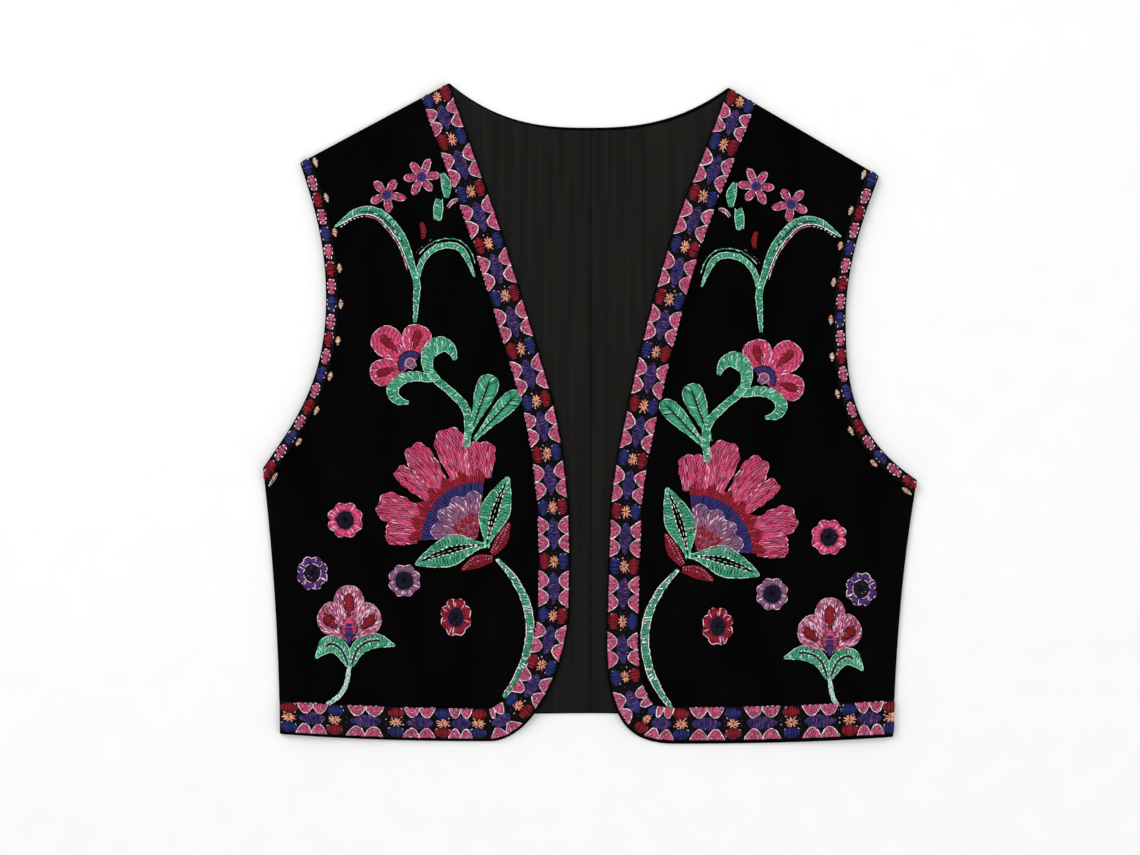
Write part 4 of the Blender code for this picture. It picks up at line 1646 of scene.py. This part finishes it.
@dataclass(frozen=True)
class Daisy:
    """A small round flower: a scalloped ring of radial stitches round a dark eye."""

    middle: Sequence[float]
    shift: Sequence[float]
    reach: Sequence[float]
    eye: float
    yarn: Yarn
    ring: Yarn = Yarn.VIOLET
    scallops: int = 8

    def stitch(self, threads: Threads) -> None:
        """Works the ring from the eye outwards, its rim, the eye, and a few pale knots round it."""
        turn = np.linspace(0.0, 2 * np.pi, 97)
        way = toward(turn)
        wave = 0.8 + 0.2 * np.abs(np.sin(turn * self.scallops / 2))[:, None] ** 0.7
        size = np.asarray(self.reach)
        rim, hole = self.middle + way * size * wave, self.middle + way * size * self.eye
        threads.lay(satin(hole, rim), self.yarn, uneven=0.16, mix=Yarn.BLUSH, mixed=0.1)
        threads.lay(line_of(rim, 1.8), self.yarn, width=0.85, lift=0.2, mix=Yarn.BLUSH, mixed=0.55)
        threads.lay(rays(hole[:-1], self.middle), Yarn.NIGHT, lift=0.1)
        threads.lay(line_of(hole, 1.5), self.ring, width=0.8, lift=0.2, mix=self.yarn, mixed=0.4)
        knots = self.middle + way[::12] * size * self.eye * 0.5
        threads.lay((knots, knots + (1.0, 0.6)), self.ring, width=0.8, lift=0.3, mix=Yarn.NIGHT, mixed=0.4)


@dataclass
class Tulip:
    """The small tulip: three lobes with red ovals, a pink and violet bud, two arched leaves and a stem.

    A lobe has its angle and the side to which it leans. The middle one doesn't lean, and is longer and higher.
    """

    foot: Sequence[float] = (168.6, -158.0)
    shift: Sequence[float] = (-0.8, -8.6)
    lobes: Sequence[Sequence[float]] = ((138.0, -1.0), (44.0, 1.0), (90.0, 0.0))
    lobe_length: float = 29.0
    middle_length: float = 1.3
    lobe_width: float = 21.0
    leaves: Sequence[Blade] = (
        Blade(
            [(168.8, -177.0), (174.0, -165.0), (182.6, -161.4), (191.8, -171.0)],
            (2.6, 9.8, 11.0, 1.0), slant=2.0,
        ),
        Blade(
            [(167.2, -177.0), (161.8, -164.0), (150.6, -158.8), (136.6, -162.4)],
            (2.6, 9.8, 10.0, 1.0), slant=2.0,
        ),
    )
    stem: Blade = Blade(
        [(168.0, -176.0), (170.8, -190.0), (176.6, -198.8), (184.4, -203.6)],
        (2.2, 2.4, 2.4, 2.0), Yarn.MINT, Yarn.WHITE, mixed=0.3,
    )

    def stitch(self, threads: Threads) -> None:
        """Works the leaves and stem, the lobes, their ovals, and the bud at their foot."""
        for blade in (self.stem, *self.leaves):
            blade.stitch(threads)
        for blade in self.leaves:
            vein = smooth_line(blade.middle)[8:112]
            threads.lay(line_of(vein), Yarn.NIGHT, width=1.2, lift=0.26)
            for gap in (-1.3, 1.3):
                beside = dashes(vein + left_of(vein) * gap, 2.2, 0.8)
                threads.lay(beside, Yarn.WHITE, width=0.8, lift=0.3)
        for angle, lean in self.lobes:
            middle = lean == 0.0
            length = self.lobe_length * (self.middle_length if middle else 1.0)
            lobe = Petal(self.foot, angle, length, 4.0, self.lobe_width, fullest=0.66, bend=4.0 * lean)
            rows = split(rays(lobe.rim(), self.foot), 4.2)
            threads.lay(rows, Yarn.ROSE, lift=0.1 + 0.2 * middle, mix=Yarn.BLUSH, mixed=0.3)
            rim = line_of(lobe.rim(0.1)[6:-6])
            threads.lay(rim, Yarn.BLUSH, width=0.8, lift=0.5, mix=Yarn.ROSE, mixed=0.5)
            foot = np.asarray(self.foot) + toward(np.radians(angle)) * length * 0.4
            oval = Petal(foot, angle, length * 0.46, 1.6, 7.4, fullest=0.5)
            threads.lay(satin(*oval.sides()), Yarn.RED, lift=0.55)
            threads.lay(line_of(oval.rim()), Yarn.NIGHT, width=0.7, lift=0.6, mix=Yarn.BLUSH, mixed=0.2)
        foot = np.asarray(self.foot) + (0.0, -3.0)
        bud = Petal(foot, 90.0, 19.0, 1.0, 13.0, fullest=0.55, roundness=1.4)
        threads.lay(satin(*bud.sides()), Yarn.PINK, lift=0.6)
        threads.lay(line_of(bud.rim(0.3)), Yarn.NIGHT, width=0.7, lift=0.68)
        drop = Petal(foot, 90.0, 14.5, 2.0, 6.8, fullest=0.45)
        threads.lay(satin(*drop.sides()), Yarn.VIOLET, lift=0.8, mix=Yarn.BLUE, mixed=0.4)


@dataclass(frozen=True)
class Columns:
    """Where an edge band's columns lie: each one on the hem, and then from the first up at a pitch."""

    hem: Sequence[float]
    first: float
    pitch: float
    count: int = 11

    def places(self, end: float) -> Points:
        """The distances of the columns along the edge, none past the end."""
        return np.minimum([*self.hem, *(self.first + self.pitch * np.arange(self.count))], end)


COLUMNS = {
    "right": Columns((6.0, 38.0, 80.8, 114.0, 139.0, 182.6, 219.5), first=258.2, pitch=38.7),
    "left": Columns((1.5, 29.8, 70.6, 111.8, 148.4, 180.8, 226.0), first=266.8, pitch=38.6),
}


@dataclass
class EdgeBandWork:
    """The repeat of the edge band: columns of two drops and a star, with scallops and a lozenge between.

    Sizes are along the band and across it. A scallop's fan spreads from a focus outside the rim, and no
    scallop's middle lies within the end gap of the band's ends.
    """

    plan: Plan
    columns: Columns
    width: float = 21.4
    last_gap: float = 5.6
    end_gap: float = 3.0
    rim_gap: float = 0.2
    scallop: Sequence[float] = (12.2, 7.2)
    scallop_bulge: float = 1.9
    scallop_overlap: float = 0.56
    scallop_focus: float = 5.0
    heart_depth: float = 3.4
    lozenge: Sequence[float] = (22.4, 8.8)
    shadow: float = 1.2
    speck: Sequence[float] = (0.62, 1.6)
    drop: Sequence[float] = (11.2, 8.2)
    drop_middle: float = 4.2
    star: Sequence[float] = (4.9, 3.3)
    star_hole: float = 0.3

    def on_band(self, points: Points) -> Points:
        """Places on the cloth of points given as the distances along the edge and in from the band's rim.

        Between the grid's stations and across its columns the place is bilinear.
        """
        grid = self.plan.edge_strip[:, 1:]
        along = lengths_of(self.plan.edge_strip[:, 0])
        row = np.interp(points[..., 0], along, np.arange(len(along)))
        column = np.clip(points[..., 1] / self.width, -0.04, 1.04) * (grid.shape[1] - 1)
        low_row = np.clip(row.astype(int), 0, len(along) - 2)
        low_column = np.clip(column.astype(int), 0, grid.shape[1] - 2)
        u, v = (row - low_row)[..., None], (column - low_column)[..., None]
        near = grid[low_row, low_column] * (1 - v) + grid[low_row, low_column + 1] * v
        far = grid[low_row + 1, low_column] * (1 - v) + grid[low_row + 1, low_column + 1] * v
        return near * (1 - u) + far * u

    def lay(self, threads: Threads, stitches: Stitches, yarn: Yarn, **options: object) -> None:
        """Lays stitches that are given along and across the band."""
        threads.lay((self.on_band(stitches[0]), self.on_band(stitches[1])), yarn, **options)

    def stitch(self, threads: Threads) -> None:
        """Works each column and what lies between it and the next."""
        end = lengths_of(self.plan.edge_strip[:, 0])[-1]
        places = self.columns.places(end - self.last_gap)
        for number, here in enumerate(places):
            blue_inside = (number - len(self.columns.hem)) % 2 == 0
            self.stitch_column(threads, here, blue_inside)
        for here, after in zip(places[:-1], places[1:]):
            middle, share = (here + after) / 2, min(1.0, (after - here) / self.columns.pitch)
            for rim, inward in ((self.rim_gap, 1.0), (self.width - self.rim_gap, -1.0)):
                self.stitch_scallops(threads, middle, share, end, rim, inward)
            self.stitch_lozenge(threads, middle, share, end)

    def stitch_column(self, threads: Threads, here: float, blue_inside: bool) -> None:
        """One column: a drop at each rim, in red and blue, and a peach star in the middle."""
        length, depth = self.drop
        for inside in (False, True):
            middle = self.width - self.drop_middle if inside else self.drop_middle
            yarn = Yarn.BLUE if inside == blue_inside else Yarn.RED
            drop = Petal((here - length / 2, middle), 0.0, length, 4.0, depth, fullest=0.46)
            self.lay(threads, satin(*drop.sides()), yarn, lift=0.2)
            rim = drop.rim()[22:] if inside else drop.rim()[:56]
            self.lay(threads, dashes(rim, 2.0, 1.6), Yarn.BLUSH, width=0.8, lift=0.24, mix=yarn, mixed=0.5)
        way = toward(np.radians(np.arange(0.0, 360.0, 40.0) + 17.0 * here))
        middle = np.array([here, self.width / 2])
        rays_out = middle + way * self.star_hole, middle + way * self.star
        self.lay(threads, rays_out, Yarn.PEACH, width=1.4, lift=0.3)

    def stitch_scallops(
        self, threads: Threads, middle: float, share: float, end: float, rim: float, inward: float
    ) -> None:
        """A pair of scallops on one rim, drawn in where columns are close.

        A scallop bows in from its rim by its depth times 1 - |cos t| to a power, for t from 0 to half a turn.

        Args:
            threads: what to lay them with.
            middle: where the pair meets along the band.
            share: how far the pair is drawn in.
            end: the band's length.
            rim: the place of the rim across the band.
            inward: 1 if the cloth lies past the rim, -1 if before it.
        """
        length, depth = self.scallop[0] * share, self.scallop[1]
        turn = np.linspace(0.0, np.pi, 30)
        for centre in (middle - length / 2, middle + length / 2):
            if not self.end_gap < centre < end - self.end_gap:
                continue
            reach = (1.0 - np.abs(np.cos(turn)) ** self.scallop_bulge) * depth
            along = centre + np.cos(turn) * length * self.scallop_overlap
            bow = np.stack([along, rim + inward * reach], axis=1)
            fan = split(rays(bow, (centre, rim - inward * self.scallop_focus), 0.6), 2.6)
            self.lay(threads, fan, Yarn.ROSE, lift=0.12, uneven=0.4, mix=Yarn.PINK, mixed=0.35)
            over = {"width": 0.9, "lift": 0.32, "uneven": 0.35, "mix": Yarn.BLUSH, "mixed": 0.5}
            self.lay(threads, line_of(bow, 2.2), Yarn.WHITE, **over)
            along, reach = centre + np.cos(turn) * length / 4, np.sin(turn) * self.heart_depth
            heart = dashes(np.stack([along, rim + inward * reach], axis=1)[4:-4], 1.5, 1.2)
            self.lay(threads, heart, Yarn.RED, width=0.8, lift=0.3, mix=Yarn.BLUSH, mixed=0.3)
        base = np.clip([[middle - length, rim], [middle + length, rim]], 1.0, end - 1.0)
        base = dashes(base, 2.4, 1.2)
        self.lay(threads, base, Yarn.BLUSH, width=0.8, lift=0.2, mix=Yarn.PINK, mixed=0.4)

    def stitch_lozenge(self, threads: Threads, middle: float, share: float, end: float) -> None:
        """The lozenge in the middle of the band, its dark edge, pale strands and four specks beside it."""
        size, wide = self.lozenge[0] * share, self.lozenge[1]
        start = middle - size / 2
        if start + size > end:
            return
        lozenge = Petal((start, self.width / 2), 0.0, size, 2.4, wide, fullest=0.5, roundness=2.0)
        left, right = lozenge.sides()
        axis = (left + right) / 2
        for side in (left, right):
            dark = satin(axis, axis + (side - axis) * self.shadow, 1.9, 1.5)
            self.lay(threads, dark, Yarn.NIGHT, lift=0.05, mix=Yarn.VIOLET, mixed=0.5)
        body = split(satin(left, right, slant=1.5), 2.8)
        self.lay(threads, body, Yarn.VIOLET, lift=0.2, uneven=0.45, mix=Yarn.BLUE, mixed=0.4)
        chosen = threads.draws.random(len(body[0])) < 0.2
        self.lay(threads, (body[0][chosen], body[1][chosen]), Yarn.LILAC, width=0.7, lift=0.26)
        along, across = self.speck
        corners = np.array([(-1.0, -1.0), (1.0, -1.0), (-1.0, 1.0), (1.0, 1.0)])
        starts = np.array([middle, self.width / 2]) + corners * (size * along, across)
        specks = starts, starts + (1.4, 0.4)
        self.lay(threads, specks, Yarn.VIOLET, width=1.1, lift=0.2, mix=Yarn.BLUSH, mixed=0.35)


@dataclass
class ArmholeWork:
    """The trim of the armhole: a row of blue, pink and red blobs, with knots beside it on the velvet."""

    plan: Plan
    count: int = 19
    end_gap: float = 4.5
    middle: float = 4.1
    size: Sequence[float] = (10.4, 6.4)
    pink_size: Sequence[float] = (10.4, 5.8)
    knot_middle: float = 10.4
    knot_size: Sequence[float] = (5.8, 3.8)

    def places(self) -> Points:
        """The distances of the blobs along the armhole, from the shoulder down."""
        total = lengths_of(self.plan.armhole_strip[:, 0])[-1]
        return np.linspace(total - self.end_gap, self.end_gap, self.count)

    def on_trim(self, points: Points) -> Points:
        """Places on the cloth of points given as the distances along the armhole and in from it."""
        grid = self.plan.armhole_strip
        along = lengths_of(grid[:, 0])
        depth = self.plan.armhole_margin + self.plan.armhole_band
        edge, inner = (at_rows(grid[:, k], along, points[..., 0]) for k in (0, -1))
        return edge + (inner - edge) * (points[..., 1] / depth)[..., None]

    def lay(self, threads: Threads, stitches: Stitches, yarn: Yarn, **options: object) -> None:
        """Lays stitches that are given along and across the trim."""
        threads.lay((self.on_trim(stitches[0]), self.on_trim(stitches[1])), yarn, **options)

    def stitch_blobs(self, threads: Threads) -> None:
        """Works the blobs: blue and red in turn, with a pink one between each two."""
        for number, here in enumerate(self.places()):
            pink = number % 2 == 1
            yarn = Yarn.PINK if pink else (Yarn.BLUE if number % 4 == 0 else Yarn.RED)
            length, depth = self.pink_size if pink else self.size
            blob = Petal((here - length / 2, self.middle), 0.0, length, 2.6, depth, fullest=0.5)
            body = Yarn.ROSE if pink else yarn
            self.lay(threads, satin(*blob.sides()), body, lift=0.15, uneven=0.35, mix=yarn, mixed=0.3)
            rim, mixed = (Yarn.WHITE, 0.15) if pink else (Yarn.BLUSH, 0.6)
            specks = dashes(blob.rim(), 1.8, 1.3)
            self.lay(threads, specks, rim, width=0.9, lift=0.2, mix=yarn, mixed=mixed)

    def stitch_knots(self, threads: Threads) -> None:
        """Works the cream and peach knots beside the blue and the red blobs."""
        for here in self.places()[::2]:
            length, depth = self.knot_size
            knot = Petal((here - length / 2, self.knot_middle), 0.0, length, 1.6, depth, fullest=0.5)
            rows = satin(*knot.sides(), spacing=0.8)
            self.lay(threads, rows, Yarn.CREAM, width=1.0, mix=Yarn.PEACH, mixed=0.3)


@dataclass
class Embroidery:
    """All the stitches of one front."""

    front: Front
    band_brightness: float = 1.05
    daisies: Sequence[Daisy] = (
        Daisy((171.2, -74.6), (-4.2, -11.9), (12.6, 12.6), 0.52, Yarn.PINK),
        Daisy((194.3, -111.7), (-4.5, -11.2), (11.0, 12.0), 0.56, Yarn.VIOLET, Yarn.BLUSH),
        Daisy((129.9, -116.9), (-2.5, -9.4), (11.4, 11.6), 0.58, Yarn.LILAC),
        Daisy((93.8, -142.5), (-4.5, -6.3), (11.0, 13.6), 0.52, Yarn.RED),
    )

    def work(self, name: str, motifs: Sequence[object], seed: int) -> Threads:
        """Stitches these motifs on the velvet as one piece, each with its own shift on the left front."""
        side = self.front.name
        threads = Threads(f"{name}_{side}", self.front.laid, self.front.laid.top, seed)
        for motif in motifs:
            threads.moved = motif.shift if side == "left" else (0.0, 0.0)
            motif.stitch(threads)
        return threads

    def build(self) -> list[bpy.types.Object]:
        """Makes every piece of the front's embroidery."""
        side, plan, laid = self.front.name, self.front.plan, self.front.laid
        spray = self.work("spray_stitches", [StarSpray(), ArchSpray(), MiddleFlower(), Paddles()], 11)
        flower = self.work("flower_stitches", [GreatFlower(), FlowerLeaves()], 12)
        posy = self.work("posy_stitches", [*self.daisies, Tulip()], 13)
        band = Threads(
            f"edge_band_stitches_{side}", laid, laid.band_top, 14, brightness=self.band_brightness
        )
        EdgeBandWork(plan, COLUMNS[side]).stitch(band)
        trim = Threads(f"armhole_stitches_{side}", laid, laid.band_top, 15)
        knots = Threads(f"armhole_knots_{side}", laid, laid.top, 16)
        armhole = ArmholeWork(plan)
        armhole.stitch_blobs(trim)
        armhole.stitch_knots(knots)
        return [threads.build() for threads in (spray, flower, posy, band, trim, knots)]


@dataclass
class Studio:
    """A plain pale floor, soft light from all round, and a camera straight above, as in the photograph."""

    frame_width: float = 798.0
    view_middle: Sequence[float] = (-14.0, -9.8)
    camera_height: float = 3000.0
    sensor: float = 36.0
    look_height: float = 4.0
    floor_size: float = 6000.0
    floor_shade: float = 0.86
    room_light: float = 0.78

    def build(self) -> None:
        """Places the floor, the lamps and the camera."""
        self.floor()
        world = bpy.data.worlds.new("soft_room")
        world.use_nodes = True
        room = world.node_tree.nodes["Background"]
        room.inputs["Color"].default_value = (1.0, 1.0, 1.0, 1.0)
        room.inputs["Strength"].default_value = self.room_light
        bpy.context.scene.world = world
        self.lamp("key", place=(-0.9, 1.1, 1.5), size=1.1, power=17.0)
        self.lamp("fill", place=(1.2, -0.4, 1.7), size=1.4, power=7.0)
        self.camera()
        bpy.context.scene.view_settings.view_transform = "Standard"

    def floor(self) -> None:
        """A square floor of pale paper, faintly mottled."""
        corners = np.array([(-1, -1, 0), (1, -1, 0), (1, 1, 0), (-1, 1, 0)]) * self.floor_size / 2
        floor = bpy.data.objects.new("floor", mesh_of("floor", corners, np.array([[0, 1, 2, 3]])))
        paper = Nodes("pale_paper")
        grain = paper.add("TexNoise", Vector=paper.object_place(), Scale=40.0, Detail=3.0)
        tones = [(0.3, (self.floor_shade - 0.01,) * 3), (0.7, (self.floor_shade + 0.01,) * 3)]
        paper.fill(paper.shader, Base_Color=paper.ramp(grain.outputs["Fac"], tones), Roughness=0.9)
        floor.data.materials.append(paper.material)
        bpy.context.scene.collection.objects.link(floor)

    def lamp(self, name: str, place: Sequence[float], size: float, power: float) -> None:
        """A square area lamp, in metres and watts, that faces the vest."""
        light = bpy.data.lights.new(name, "AREA")
        light.size, light.energy = size, power
        lamp = bpy.data.objects.new(name, light)
        lamp.location = place
        lamp.rotation_euler = (-Vector(place)).to_track_quat("-Z", "Y").to_euler()
        bpy.context.scene.collection.objects.link(lamp)

    def camera(self) -> None:
        """A camera straight above the middle of the view, with its lens fitted to the frame's real width."""
        camera = bpy.data.objects.new("camera", bpy.data.cameras.new("camera"))
        camera.location = Vector((*self.view_middle, self.camera_height)) * MM
        camera.data.sensor_width = self.sensor
        camera.data.lens = self.sensor * (self.camera_height - self.look_height) / self.frame_width
        camera.data.clip_end = 20.0
        bpy.context.scene.collection.objects.link(camera)
        bpy.context.scene.camera = camera


def main() -> None:
    """Builds the vest from the back up, and reports each piece."""
    Studio().build()
    back = Back()
    pieces = [back.build_shell(), back.build_lining("right"), back.build_lining("left")]
    for name in FRONTS:
        front = Front(name)
        pieces.extend(front.build())
        pieces.extend(Embroidery(front).build())
    for piece in pieces:
        LOG.info("%s: %d faces", piece.name, len(piece.data.polygons))


if __name__ == "__main__":
    logging.basicConfig(level=logging.INFO, format="%(message)s")
    main()
